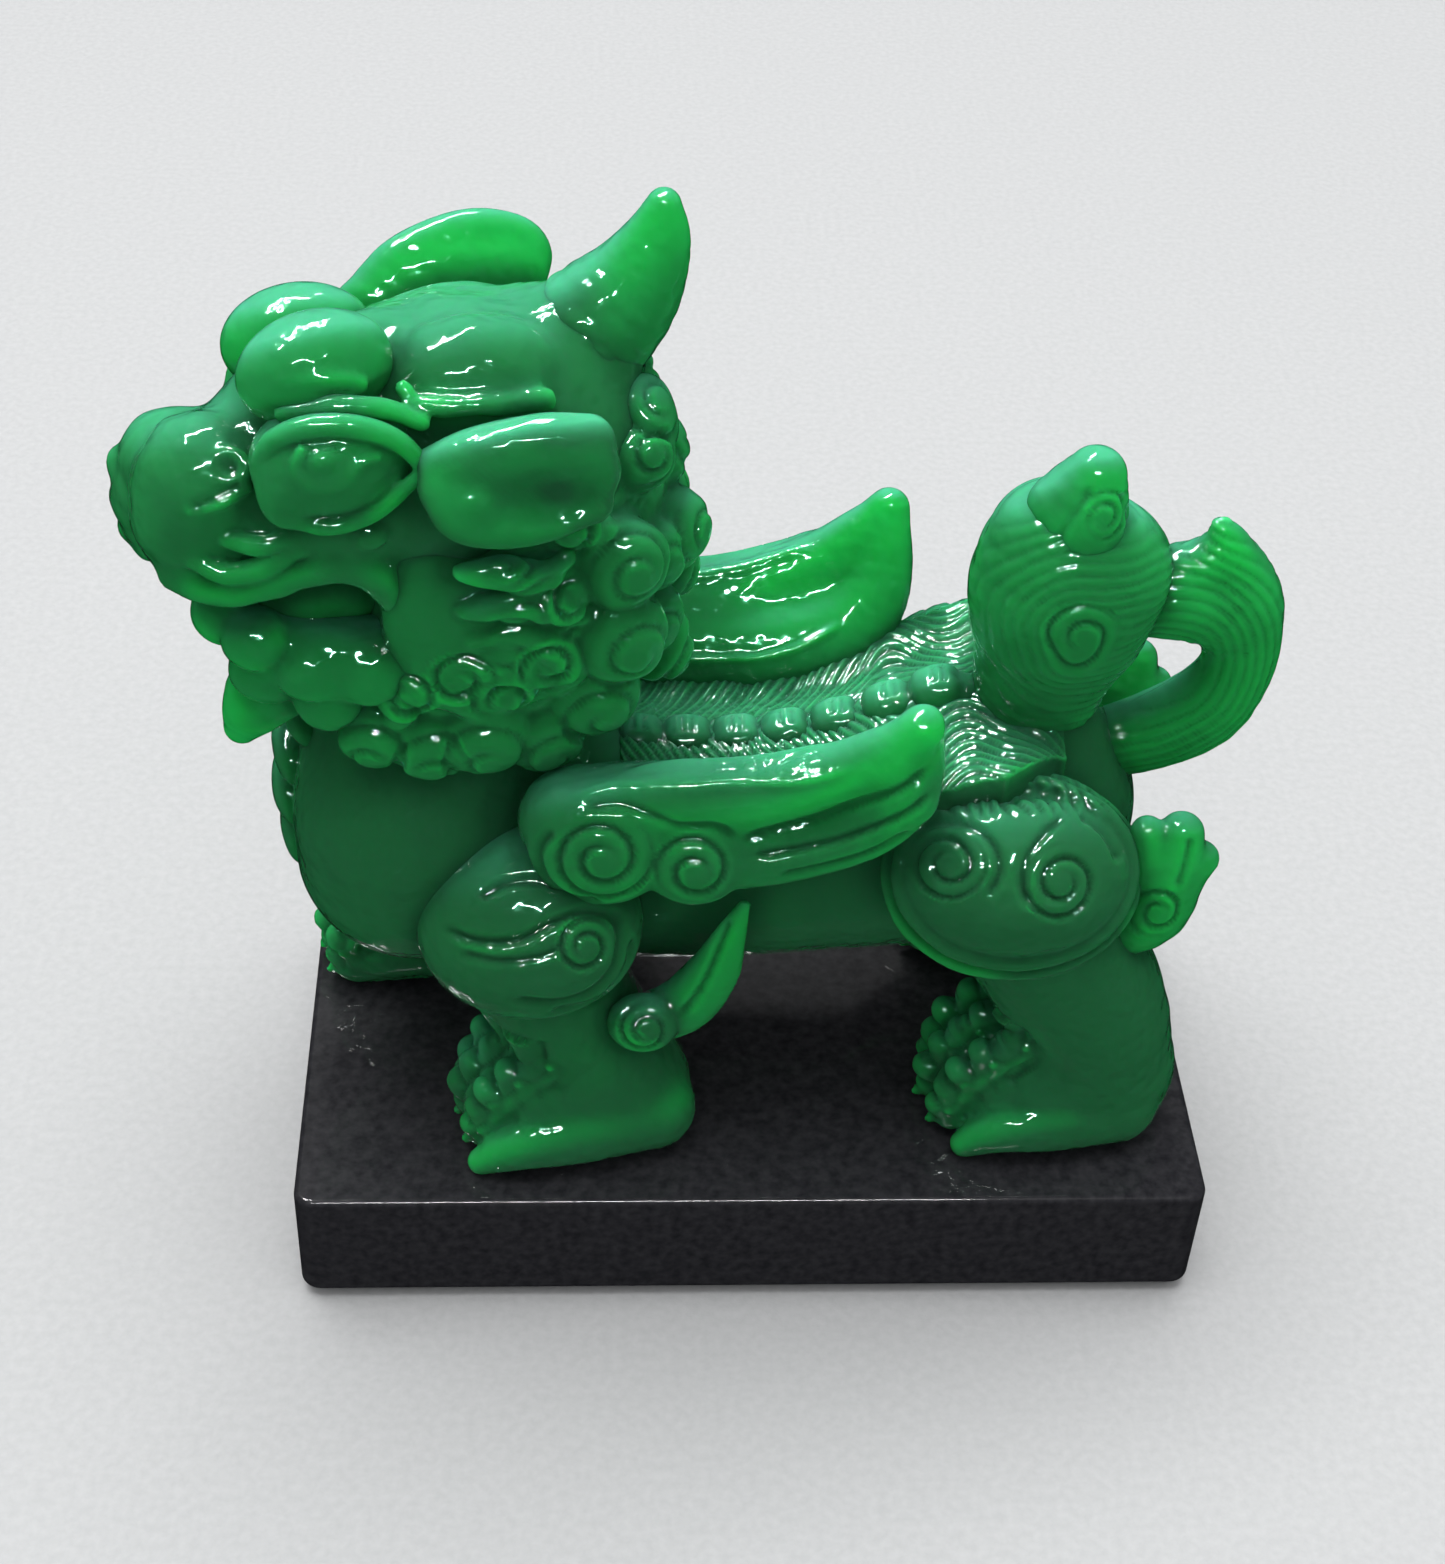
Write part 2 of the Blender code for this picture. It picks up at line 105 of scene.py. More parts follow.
def stroke_distance(balls, flat, axes, pad):
    """The distance to a row of balls run together, worked out only near each stretch of it."""
    found = np.full([len(axis) for axis in axes], FAR * 3, np.float32)
    for a, b in zip(balls[:-1], balls[1:]):
        room = max(a[3], b[3]) + pad
        near = spans_of(axes, np.minimum(a, b)[:3], np.maximum(a, b)[:3], room)
        x, y, z = grid([axis[span] for axis, span in zip(axes, near)], a)
        run = (b - a)[:3]
        if flat is not None:
            n = np.array(flat[0], float) / np.linalg.norm(flat[0])
            more = 1 / flat[1] - 1
            run = run + more * (run @ n) * n
            extra = more * (x * n[0] + y * n[1] + z * n[2])
            x, y, z = x + extra * n[0], y + extra * n[1], z + extra * n[2]
        t = np.clip((x * run[0] + y * run[1] + z * run[2]) / max(run @ run, 1e-9), 0, 1)
        d = np.sqrt((x - t * run[0]) ** 2 + (y - t * run[1]) ** 2 + (z - t * run[2]) ** 2)
        d = d - (a[3] + t * (b[3] - a[3]))
        if flat is not None:
            d = d * (0.35 + 0.65 * flat[1])
        found[near] = np.minimum(found[near], d)
    return found


def egg_distance(centre, radii, turn, axes):
    """About the distance to an ellipsoid whose radii lie along the rows of turn."""
    rel = np.stack(np.broadcast_arrays(*grid(axes, centre)), -1) @ turn.T.astype(np.float32)
    k0 = np.linalg.norm(rel / radii.astype(np.float32), axis=-1)
    k1 = np.linalg.norm(rel / (radii ** 2).astype(np.float32), axis=-1)
    return k0 * (k0 - 1) / np.maximum(k1, 1e-6)


def melt(a, b, k):
    """The union of two distances, rounded over a width k where they meet."""
    h = np.maximum(k - np.abs(a - b), 0)
    return np.minimum(a, b) - h * h / (4 * k)


Step = namedtuple("Step", "distance low high blend cut")


class Clay:
    """Strokes, eggs and cuts that together make one closed smooth skin."""

    def __init__(self, rows=(), keep=None):
        """A row is its blend and then its balls. keep(x, y, z) is below zero where the clay stays."""
        self.steps = []
        self.keep = keep
        for blend, *balls in rows:
            self.stroke(balls, blend)

    def stroke(self, knots, blend=1.5, flat=None, cut=False):
        """A row of balls run together. flat is (direction, factor): thinner along that direction."""
        balls = curve(knots)
        low = (balls[:, :3] - balls[:, 3:]).min(0)
        high = (balls[:, :3] + balls[:, 3:]).max(0)
        self.steps.append(Step(lambda axes, pad: stroke_distance(balls, flat, axes, pad),
                               low, high, blend, cut))

    def rolls(self, rows, side=1.0, low=0.0):
        """Strokes on the head. Each row is its blend and then its balls."""
        for blend, *balls in rows:
            self.stroke(on_head(balls, side, low), blend)

    def egg(self, centre, radii, turn=None, blend=1.5, cut=False):
        """An ellipsoid with its radii along the rows of turn."""
        turn = np.eye(3) if turn is None else np.array(turn, float)
        radii = np.array(radii, float)
        centre = np.array(centre, float)
        reach = np.abs(turn.T) @ radii
        self.steps.append(Step(lambda axes, pad: egg_distance(centre, radii, turn, axes),
                               centre - reach, centre + reach, blend, cut))

    def head_egg(self, f, l, u, radii, turn=None, blend=1.0, cut=False):
        """An egg placed and turned along the head's own axes."""
        base = np.array([FORWARD, LEFT, UP])
        turn = base if turn is None else np.array(turn, float) @ base
        self.egg(head_point(f, l, u), radii, turn, blend, cut)

    def ring(self, centre, right, up, across, tall, radius, blend):
        """A stroke around an ellipse that spans the directions right and up."""
        angles = np.radians(np.linspace(0, 360, 25))[:, None]
        loop = centre + across * np.cos(angles) * right + tall * np.sin(angles) * up
        self.stroke([(*point, radius) for point in loop], blend)

    def box(self):
        solid = [step for step in self.steps if not step.cut]
        low = np.min([step.low for step in solid], 0)
        high = np.max([step.high for step in solid], 0)
        return low - MARGIN, high + MARGIN

    def field(self, low, high, voxel):
        """The distance to the skin on a regular grid."""
        counts = np.ceil((high - low) / voxel).astype(int) + 1
        axes = [(low[n] + voxel * np.arange(counts[n])).astype(np.float32) for n in range(3)]
        field = np.full(counts, FAR, np.float32)
        for step in self.steps:
            pad = step.blend + 2 * voxel + 0.5
            spans = spans_of(axes, step.low, step.high, pad)
            if any(span.stop <= span.start for span in spans):
                continue
            distance = step.distance([axis[span] for axis, span in zip(axes, spans)], pad)
            if step.cut:
                field[spans] = -melt(-field[spans], distance, step.blend)
            else:
                field[spans] = melt(field[spans], distance, step.blend)
        if self.keep:
            field = np.maximum(field, self.keep(*grid(axes)).astype(np.float32))
        return field


# ---------------------------------------------------------------- from clay to a mesh
def skin(field, low, voxel):
    """Surface nets: one point in each cell that the surface crosses, and a quad round each side it cuts."""
    inside = field < 0
    cuts = []
    rings = []
    for axis in range(3):
        ahead, p, q = np.roll(np.eye(3, dtype=int), -axis, axis=0)
        start = np.argwhere(inside != np.roll(inside, -1, axis))
        a = field[tuple(start.T)]
        b = field[tuple((start + ahead).T)]
        cuts.append(start + (a / (a - b))[:, None] * ahead)
        cells = [start - p - q, start - q, start, start - p]
        ring = np.stack([np.ravel_multi_index(tuple(cell.T), field.shape) for cell in cells], -1)
        ring[a >= 0] = ring[a >= 0][:, ::-1]
        rings.append(ring)
    _, quads = np.unique(np.vstack(rings), return_inverse=True)
    quads = quads.ravel()
    cuts = np.repeat(np.vstack(cuts), 4, axis=0)
    points = np.stack([np.bincount(quads, cuts[:, n]) for n in range(3)], -1) / np.bincount(quads)[:, None]
    return points * voxel + low, quads.reshape(-1, 4)


def main_body(points, quads):
    """Drops any crumb that isn't joined to the largest body along whole sides."""
    ends = np.roll(quads, -1, axis=1)
    sides = (np.minimum(quads, ends) * len(points) + np.maximum(quads, ends)).ravel()
    order = np.argsort(sides, kind="stable")
    _, first, count = np.unique(sides[order], return_index=True, return_counts=True)
    pairs = order[np.stack([first, first + 1])[:, count == 2]] // 4
    label = np.arange(len(quads))
    before = None
    while not np.array_equal(label, before):
        before = label
        label = label.copy()
        for faces in pairs:
            np.minimum.at(label, faces, before[pairs].min(0))
        label = label[label]
    used, kept = np.unique(quads[label == np.bincount(label).argmax()], return_inverse=True)
    return points[used], kept.reshape(-1, 4)


def normals_of(points, quads):
    across = np.cross(points[quads[:, 2]] - points[quads[:, 0]], points[quads[:, 3]] - points[quads[:, 1]])
    sums = [np.bincount(quads.ravel(), np.repeat(across[:, n], 4), len(points)) for n in range(3)]
    total = np.stack(sums, -1)
    return total / np.maximum(np.linalg.norm(total, axis=1, keepdims=True), 1e-12)


DRAW_IN = 0.55
LET_OUT = 0.56


class Web:
    """Which points of a mesh are neighbours, for smoothing."""

    def __init__(self, quads, count):
        sides = np.stack([quads, np.roll(quads, -1, axis=1)], -1).reshape(-1, 2)
        sides = np.unique(np.sort(sides, axis=1), axis=0)
        self.a = np.concatenate([sides[:, 0], sides[:, 1]])
        self.b = np.concatenate([sides[:, 1], sides[:, 0]])
        self.count = count
        self.degree = np.maximum(np.bincount(self.a, minlength=count), 1)

    def mean(self, values, rounds=1):
        """Each point's neighbours' mean, as many times over as rounds says."""
        if values.ndim > 1:
            return np.stack([self.mean(values[:, n], rounds) for n in range(values.shape[1])], -1)
        for _ in range(rounds):
            values = np.bincount(self.a, values[self.b], self.count) / self.degree
        return values


def relax(points, web, rounds):
    """Smooths without shrinking: each round draws the points in and then lets them out again."""
    for _ in range(rounds):
        for share in (DRAW_IN, -LET_OUT):
            points = points + share * (web.mean(points) - points)
    return points


# ---------------------------------------------------------------- carving on the skin
def ease(x, low, high):
    t = np.clip((x - low) / (high - low), 0, 1)
    return t * t * (3 - 2 * t)


class Stencil:
    """A flat drawing laid on the skin from one side: origin, the way it faces, and its own right."""

    def __init__(self, origin, faces, right):
        self.origin = np.array(origin, float)
        self.n = np.array(faces, float) / np.linalg.norm(faces)
        right = np.array(right, float)
        right = right - (right @ self.n) * self.n
        self.u = right / np.linalg.norm(right)
        self.v = np.cross(self.n, self.u)

    def axes(self, flip=1):
        return self.u * flip, self.v * flip, self.n * flip

    def at(self, u, v, out=0.0):
        """The place in space of a point of the drawing, raised by out."""
        return self.origin + u * self.u + v * self.v + out * self.n

    def lay(self, points, normals, reach, soft=(0.1, 0.45)):
        """Each point's place in the drawing, and how much of the drawing shows there."""
        rel = points - self.origin
        facing = ease(normals @ self.n, *soft)
        depth = 1 - ease(np.abs(rel @ self.n), reach * 0.75, reach)
        return rel @ self.u, rel @ self.v, facing * depth


def swirl(a, b, centre, radius, pitch, depth, hand=1, start=0.0):
    """A ridge rolled into a spiral: the furrow between its turns, zero outside the radius."""
    x, y = a - centre[0], b - centre[1]
    r = np.hypot(x, y)
    phase = r / pitch - hand * np.arctan2(y, x) / (2 * math.pi) - start
    furrow = np.abs((phase % 1) * 2 - 1) ** 2.5
    eye = ease(r, 0.45 * pitch, 0.85 * pitch)
    return -depth * furrow * eye * (1 - ease(r, radius * 0.86, radius))


def line_offset(a, b, line):
    """Signed distance from each point to a smooth line, and how far along it, 0 to 1."""
    rows = curve([(x, y, 0, 1) for x, y in line], 0.8)[:, :2]
    best = np.full(a.shape, 1e9)
    side = np.zeros(a.shape)
    along = np.zeros(a.shape)
    for n, (p, q) in enumerate(zip(rows[:-1], rows[1:])):
        run = q - p
        t = np.clip(((a - p[0]) * run[0] + (b - p[1]) * run[1]) / max(run @ run, 1e-9), 0, 1)
        dx, dy = a - p[0] - t * run[0], b - p[1] - t * run[1]
        d = np.hypot(dx, dy)
        closer = d < best
        best[closer] = d[closer]
        side[closer] = np.sign(run[0] * dy - run[1] * dx)[closer]
        along[closer] = ((n + t) / (len(rows) - 1))[closer]
    return best * side, along


def line_marks(a, b, lines):
    """Ridges along lines, or furrows where the height is below zero. A line is (width, height, points...)."""
    total = np.zeros(a.shape)
    for width, height, *line in lines:
        d, t = line_offset(a, b, line)
        total += height * np.exp(-(d / width) ** 2) * ease(t, 0, 0.12) * (1 - ease(t, 0.88, 1))
    return total


def drawn(points, normals, stencil, reach, soft, lines, swirls):
    """Lines and swirls carved through a stencil."""
    u, v, shown = stencil.lay(points, normals, reach, soft)
    total = line_marks(u, v, lines)
    for each in swirls:
        total += swirl(u, v, *each)
    return total * shown


def comb(phase, depth):
    """Rounded strands side by side, one to each whole number."""
    return -depth * np.abs((phase % 1) * 2 - 1) ** 2


def waver(points, size, seed=0):
    """A smooth wandering value between about -1 and 1."""
    rng = np.random.default_rng(seed)
    total = np.zeros(len(points))
    for _ in range(6):
        total += np.sin(points @ (rng.normal(size=3) / size) + rng.uniform(0, 6.3))
    return total / 3.5


# ---------------------------------------------------------------- materials
def fill_ramp(node, stops):
    elements = node.color_ramp.elements
    while len(elements) < len(stops):
        elements.new(0.5)
    for element, (at, colour) in zip(elements, stops):
        element.position = at
        element.color = (*colour, 1)


class Look:
    """A material that is being built from nodes."""

    def __init__(self, name):
        self.material = bpy.data.materials.new(name)
        self.material.use_nodes = True
        self.nodes = self.material.node_tree.nodes
        self.links = self.material.node_tree.links
        self.shader = self.nodes["Principled BSDF"]
        self.place = self.nodes.new("ShaderNodeTexCoord").outputs["Object"]

    def give(self, source, *sockets):
        for socket in sockets:
            self.links.new(source, self.shader.inputs[socket])

    def attribute(self, name):
        node = self.nodes.new("ShaderNodeAttribute")
        node.attribute_name = name
        return node.outputs["Fac"]

    def noise(self, scale, detail):
        node = self.nodes.new("ShaderNodeTexNoise")
        node.inputs["Scale"].default_value = scale
        node.inputs["Detail"].default_value = detail
        self.links.new(self.place, node.inputs["Vector"])
        return node.outputs["Fac"]

    def math(self, kind, *inputs):
        node = self.nodes.new("ShaderNodeMath")
        node.operation = kind
        for value, socket in zip(inputs, node.inputs):
            if isinstance(value, (int, float)):
                socket.default_value = value
            else:
                self.links.new(value, socket)
        return node.outputs[0]

    def ramp(self, source, stops):
        node = self.nodes.new("ShaderNodeValToRGB")
        fill_ramp(node, stops)
        self.links.new(source, node.inputs["Fac"])
        return node.outputs["Color"]

    def tint(self, base, factor, colour):
        """The base colour, taken towards another as far as the factor says."""
        node = self.nodes.new("ShaderNodeMix")
        node.data_type = "RGBA"
        node.inputs["B"].default_value = (*colour, 1)
        self.links.new(factor, node.inputs["Factor"])
        self.links.new(base, node.inputs["A"])
        return node.outputs["Result"]

    def bump(self, height, strength, distance, *sockets):
        node = self.nodes.new("ShaderNodeBump")
        node.inputs["Strength"].default_value = strength
        node.inputs["Distance"].default_value = distance * UNIT
        self.links.new(height, node.inputs["Height"])
        self.give(node.outputs["Normal"], "Normal", *sockets)

    def set(self, values):
        for socket, value in values.items():
            self.shader.inputs[socket].default_value = value

    def grain(self, detail, dark, light, strength, distance):
        """A fine grain that shows in the colour and as a bump."""
        grain = self.noise(900, detail)
        self.give(self.ramp(grain, [(0.3, dark), (0.7, light)]), "Base Color")
        self.bump(grain, strength, distance)
        return grain


RESIN_AND_PAINTED_GLOW = [
    # from thin to thick resin, with a painted glow that brightens the thin end
    (0.0, (0.022, 0.720, 0.140)),
    (0.3, (0.020, 0.600, 0.098)),
    (0.65, (0.021, 0.400, 0.090)),
    (1.0, (0.024, 0.185, 0.066)),
]
# the teal of the painted light
PAINTED_LIGHT_TEAL = (0.095, 0.560, 0.310)
# the green of the painted shade
PAINTED_SHADE_GREEN = (0.008, 0.055, 0.022)


def jade_material():
    """Translucent green resin: clear with a painted glow where it is thin, deep where it is thick,
    teal painted light on the rims that face the light, and painted shade in the folds.
    """
    look = Look("jade_resin")
    cloudy = look.math("MULTIPLY_ADD", look.noise(60, 4), 0.3, -0.15)
    # the green by thickness, with a painted glow on thin resin
    body = look.ramp(look.math("ADD", look.attribute("depth"), cloudy), RESIN_AND_PAINTED_GLOW)
    # painted light: teal on the faces turned to the light, with random cloudiness
    painted_light = look.math("ADD", look.attribute("painted_light"), look.math("MULTIPLY", cloudy, 0.6))
    colour = look.tint(body, painted_light, PAINTED_LIGHT_TEAL)
    # painted shade: darker green in folds, creases, furrows and the painted shadow
    colour = look.tint(colour, look.math("MULTIPLY", look.attribute("shade"), 0.7), PAINTED_SHADE_GREEN)
    look.give(colour, "Base Color")
    look.shader.subsurface_method = "RANDOM_WALK"
    look.set({
        "Subsurface Weight": 1.0,
        "Subsurface Radius": (0.25, 1.0, 0.5),
        "Subsurface Scale": 2.2 * UNIT,
        "IOR": 1.5,
        "Specular IOR Level": 0.12,
        "Specular Tint": (0.25, 0.95, 0.6, 1),
        "Coat Weight": 0.6,
        "Coat Roughness": 0.02,
    })
    look.give(look.math("MULTIPLY_ADD", look.noise(140, 5), 0.12, 0.06), "Roughness")
    look.bump(look.noise(760, 0.4), 0.6, 0.3, "Coat Normal")
    return look.material


def lacquer_material():
    look = Look("plinth_lacquer")
    mottle = look.grain(6, (0.014, 0.014, 0.017), (0.032, 0.032, 0.036), 0.25, 0.1)
    look.give(look.math("MULTIPLY_ADD", mottle, 0.2, 0.3), "Roughness")
    look.set({"Specular IOR Level": 0.05, "Coat Weight": 0.4, "Coat Roughness": 0.05})
    return look.material


def felt_material():
    look = Look("felt_black")
    fuzz = look.grain(2, (0.012, 0.012, 0.014), (0.035, 0.035, 0.038), 0.8, 0.2)
    look.give(look.math("MULTIPLY_ADD", fuzz, 0.1, 0.88), "Roughness")
    return look.material


def paper_material():
    look = Look("floor_paper")
    look.grain(3, (0.41, 0.415, 0.42), (0.45, 0.455, 0.46), 0.3, 0.3)
    look.set({"Roughness": 0.9})
    return look.material


# ---------------------------------------------------------------- sculpted sections
# node is the CAD node it replaces, where that isn't its own name. mirror names its twin on the other
# side, and shift moves that twin along x. deep paints the section's resin darker than its thickness gives,
# a painted shade, and lighter where it is below zero, a painted light; teal scales its painted light on lit
# rims.
Section = namedtuple("Section", "name clay voxel carve slot node mirror shift deep teal",
                     defaults=(None, "jade_mid", None, None, 0.0, 0.0, 1.0))
# how far in resin still counts, how far out folds and shadows are looked for, to paint shade and shadow,
# and how far tints spread
THICK = 16
FOLD_REACHES = (1.5, 2.5, 4, 6)
SHADOW_REACHES = range(4, 24, 2)
SHADOW_START = 1.5
SHADOW_SHARPNESS = 2.2
SHADOW_SHARE = 0.55
TINT_SPREAD = 6
SHADE_SPREAD = 1.5
# how much painted shade carved furrows and creases get, and how much lighter crests are painted
FURROW_SHADE = 0.35
CREASE_SHADE = 3.0
CREST_PAINTED_LIGHT = 2.0


def whole_figure(parts):
    """The distance field of every section together, on a coarse grid, both halves of each pair."""
    boxes = [part.clay.box() for part in parts]
    low = np.min([box[0] for box in boxes], 0)
    high = np.max([box[1] for box in boxes], 0)
    low[1] = -max(-low[1], high[1])
    high[1] = -low[1]
    voxel = (high[1] - low[1]) / 64
    whole = FAR
    for part in parts:
        field = part.clay.field(low, high - voxel / 2, voxel)
        if part.mirror:
            field = np.minimum(field, np.roll(field[:, ::-1], round(part.shift / voxel), axis=0))
        whole = np.minimum(whole, field)
    return whole, low, voxel


def look_up(figure, points):
    """The figure's field at any points, by the nearest grid point."""
    field, low, voxel = figure
    at = np.rint((points - low) / voxel).astype(int)
    at = np.clip(at, 0, np.array(field.shape) - 1)
    return field[tuple(at.T)]


def depth_of(points, normals, figure):
    """How much resin lies behind each point, 0 for none to 1 for a thick part."""
    through = np.zeros(len(points))
    solid = np.ones(len(points))
    for step in range(1, THICK + 1):
        solid = solid * (look_up(figure, points - normals * step) < 0.2)
        through += solid
    return through / THICK


def shade_of(points, normals, figure):
    """Painted shade: how shut in each point is by the shapes round it, 0 in the open to 1 or more in a deep
    fold, with a painted shadow added where something lies towards the light.
    """
    folds = np.zeros(len(points))
    for step in FOLD_REACHES:
        folds += 0.25 * np.clip(1 - look_up(figure, points + normals * step) / (0.9 * step), 0, 1)
    gap = np.ones(len(points))
    for step in SHADOW_REACHES:
        over = look_up(figure, points + normals * SHADOW_START + LIT_SIDE * step)
        gap = np.minimum(gap, SHADOW_SHARPNESS * over / step)
    return folds + SHADOW_SHARE * (1 - np.clip(gap, 0, 1))


def painted_light_of(normals, teal):
    """Painted light: how far each point faces the light, scaled by teal."""
    return teal * ease(normals @ LIT_SIDE, 0.3, 0.95)


def sculpt(part, figure):
    """A section's points and quads, and the values that colour its resin, painted light and shade among them.
    """
    low, high = part.clay.box()
    voxel = part.voxel * COARSEN
    points, quads = main_body(*skin(part.clay.field(low, high, voxel), low, voxel))
    web = Web(quads, len(points))
    points = relax(points, web, 2)
    normals = normals_of(points, quads)
    # thickness sets the green, and deep shifts it: painted shade above zero, painted light below
    depth = web.mean(depth_of(points, normals, figure) + part.deep, int(TINT_SPREAD / voxel))
    # painted light on the faces turned to the light
    painted_light = web.mean(painted_light_of(normals, part.teal), int(TINT_SPREAD / voxel))
    # painted shade in folds, and a painted shadow from what lies towards the light
    shade = web.mean(shade_of(points, normals, figure), int(SHADE_SPREAD / voxel))
    if part.carve:
        change = part.carve(points, normals)
        points = points + normals * change[:, None]
        # painted shade in the carved furrows
        shade = shade + FURROW_SHADE * np.clip(-change - 0.15, 0, 0.8)
    # painted shade darkens the creases, and crests are painted lighter, a painted glow as of light through
    # them
    bend = np.sum((web.mean(points) - points) * normals_of(points, quads), axis=1) / voxel
    bend = web.mean(bend)
    shade = shade + CREASE_SHADE * np.clip(bend - 0.02, 0, 0.25)
    depth = depth - CREST_PAINTED_LIGHT * np.clip(-bend - 0.06, 0, 0.15)
    return points, quads, {"depth": depth, "painted_light": painted_light, "shade": np.clip(shade, 0, 1)}


def place(name, data):
    """A new object in the scene."""
    thing = bpy.data.objects.new(name, data)
    bpy.context.scene.collection.objects.link(thing)
    return thing


def add_section(name, node, points, quads, tints, jade):
    mesh = bpy.data.meshes.new(name)
    mesh.vertices.add(len(points))
    mesh.vertices.foreach_set("co", (points * UNIT + ORIGIN).astype(np.float32).ravel())
    mesh.loops.add(quads.size)
    mesh.loops.foreach_set("vertex_index", quads.astype(np.int32).ravel())
    mesh.polygons.add(len(quads))
    mesh.polygons.foreach_set("loop_start", np.arange(0, quads.size, 4, dtype=np.int32))
    mesh.update(calc_edges=True)
    mesh.shade_smooth()
    for tint, values in tints.items():
        mesh.attributes.new(tint, "FLOAT", "POINT").data.foreach_set("value", values.astype(np.float32))
    mesh.materials.append(jade)
    piece = place(name + "_carved", mesh)
    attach(piece, "root")
    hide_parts(node)


def make_sections(parts, jade):
    figure = whole_figure(parts)
    for part in parts:
        points, quads, tints = sculpt(part, figure)
        add_section(part.name, part.node or part.name, points, quads, tints, jade)
        if part.mirror:
            points = points * FLIP + (part.shift, 0, 0)
            quads = quads[:, ::-1]
            # the painted light again, for the twin's own faces
            tints["painted_light"] = painted_light_of(normals_of(points, quads), part.teal)
            add_section(part.mirror, part.mirror, points, quads, tints, jade)


# ---------------------------------------------------------------- torso, back and chest
# A row is its blend and then its balls.
TORSO = [
    (5, (-36.5, -7, 33, 12.5), (-37, -7.5, 37, 12)),
    (5, (-36.5, 7, 33, 12.5), (-37, 7.5, 37, 12)),
    (5, (-34, 0, 42, 14), (-33, 0, 50, 13)),
    (5, (-32, 0, 32.5, 14.5), (-12, 0, 28.5, 14), (6, 0, 29.5, 14.2), (20, 0, 32.5, 15), (27, 0, 33.5, 14)),
    (5, (19, 0, 35.4, 11.5), (26, 0, 40.4, 8), (29, 0, 44, 6.5)),
]
SCUTES = [
    # x, z and how far each scute leans back
    (-48.6, 46, 0.35), (-50, 40.8, 0.2), (-50.6, 35.4, 0.05), (-50.2, 30, -0.1), (-48.4, 24.8, -0.35),
    (-45, 20.2, -0.65),
]
# the ridge behind the scutes
BREAST = [(-44, 0, 46, 4.5), (-45.6, 0, 38, 5), (-45.6, 0, 31, 5), (-43, 0, 22, 4.5)]
# x and z of each bead, and where the last one points
BEADS = [(-13, 41.6), (-7.8, 41.5), (-2.6, 41.6), (2.6, 42.4), (7.9, 43.9), (13.2, 46.2), (18.2, 48.4)]
BEADS_END = (23.5, 50)
SPINE = [(-15, 0, 39.6, 2.4), (0, 0, 39.6, 2.4), (8, 0, 41.6, 2.4), (15, 0, 44.8, 2.4), (21, 0, 47.6, 2.4)]
# the rows of TORSO that the coat follows, its half width at each x, and its thickness
COAT_ROWS_FROM = 3
HALF_FUR = [(-16, 12), (-4, 12), (8, 13), (16, 14.5), (24, 15), (30, 10)]
FUR_THICKNESS = 0.35


def worn(height, size, seed):
    """A carving that only makes the skin a little uneven."""
    return lambda points, normals: height * waver(points, size, seed)


def pitched(angle):
    """Axes turned up by an angle in the middle plane."""
    c = math.cos(angle)
    s = math.sin(angle)
    return (c, 0, s), (0, 1, 0), (-s, 0, c)


def chest_clay():
    """Broad scutes down the front, each lapping over the next."""
    clay = Clay()
    for x, z, lean in SCUTES:
        clay.egg((x + 1.4, 0, z), (2.6, 6.4, 4.0), pitched(lean + 0.3), 0.1)
    clay.stroke(BREAST, 0.2)
    return clay


def bead_clay():
    """The beads along the spine, each with a cheek on either side, on a low ridge."""
    clay = Clay()
    for (x, z), (x2, z2) in zip(BEADS, BEADS[1:] + [BEADS_END]):
        turn = pitched(math.atan2(z2 - z, x2 - x))
        back, _, rise = 1.1 * np.array(turn[0])
        clay.egg((x, 0, z - 0.2), (2.9, 2.9, 2.5), turn, 0.1)
        for y in (-0.9, 0.9):
            clay.stroke([(x - back, y, z + 0.3 - rise, 1.6), (x + back, y, z + 0.3 + rise, 1.6)], 0.3)
    clay.stroke(SPINE, 0.2)
    return clay


def carve_beads(points, normals):
    """Two short nicks across the crown of each bead."""
    top = ease(normals[:, 2], 0.6, 0.9)
    nicks = np.zeros(len(points))
    for x, _ in BEADS:
        for at in (-0.55, 0.55):
            nicks += np.exp(-((points[:, 0] - x - at) / 0.28) ** 2)
    return -0.28 * nicks * top * (np.abs(points[:, 1]) < 1.3)


def fur_region(x, y, z):
    """Below zero over the back, the rump and the root of the tail."""
    sides = np.abs(y) - np.interp(x.ravel(), *zip(*HALF_FUR)).reshape(x.shape)
    ends = np.maximum(-15 - x, x - 31)
    return np.maximum(np.maximum(sides, ends), 38.5 - z)


def fur_clay():
    """The coat that lies over the back: the skin of the torso and haunches, a little thicker."""
    clay = Clay(keep=fur_region)
    for blend, *row in TORSO[COAT_ROWS_FROM:]:
        clay.stroke([(x, y, z, r + FUR_THICKNESS) for x, y, z, r in row], blend)
    for side in (-1, 1):
        clay.stroke([(25, side * 13.5, 38, 11.3), (25.5, side * 14, 33, 12)], 4)
        clay.stroke([(-14, side * 10.5, 38.6, 4), (0, side * 10.5, 39.4, 4.2), (9, side * 11, 41.4, 4.2),
                     (15, side * 11.4, 43.0, 4.2)], 3)
    return clay


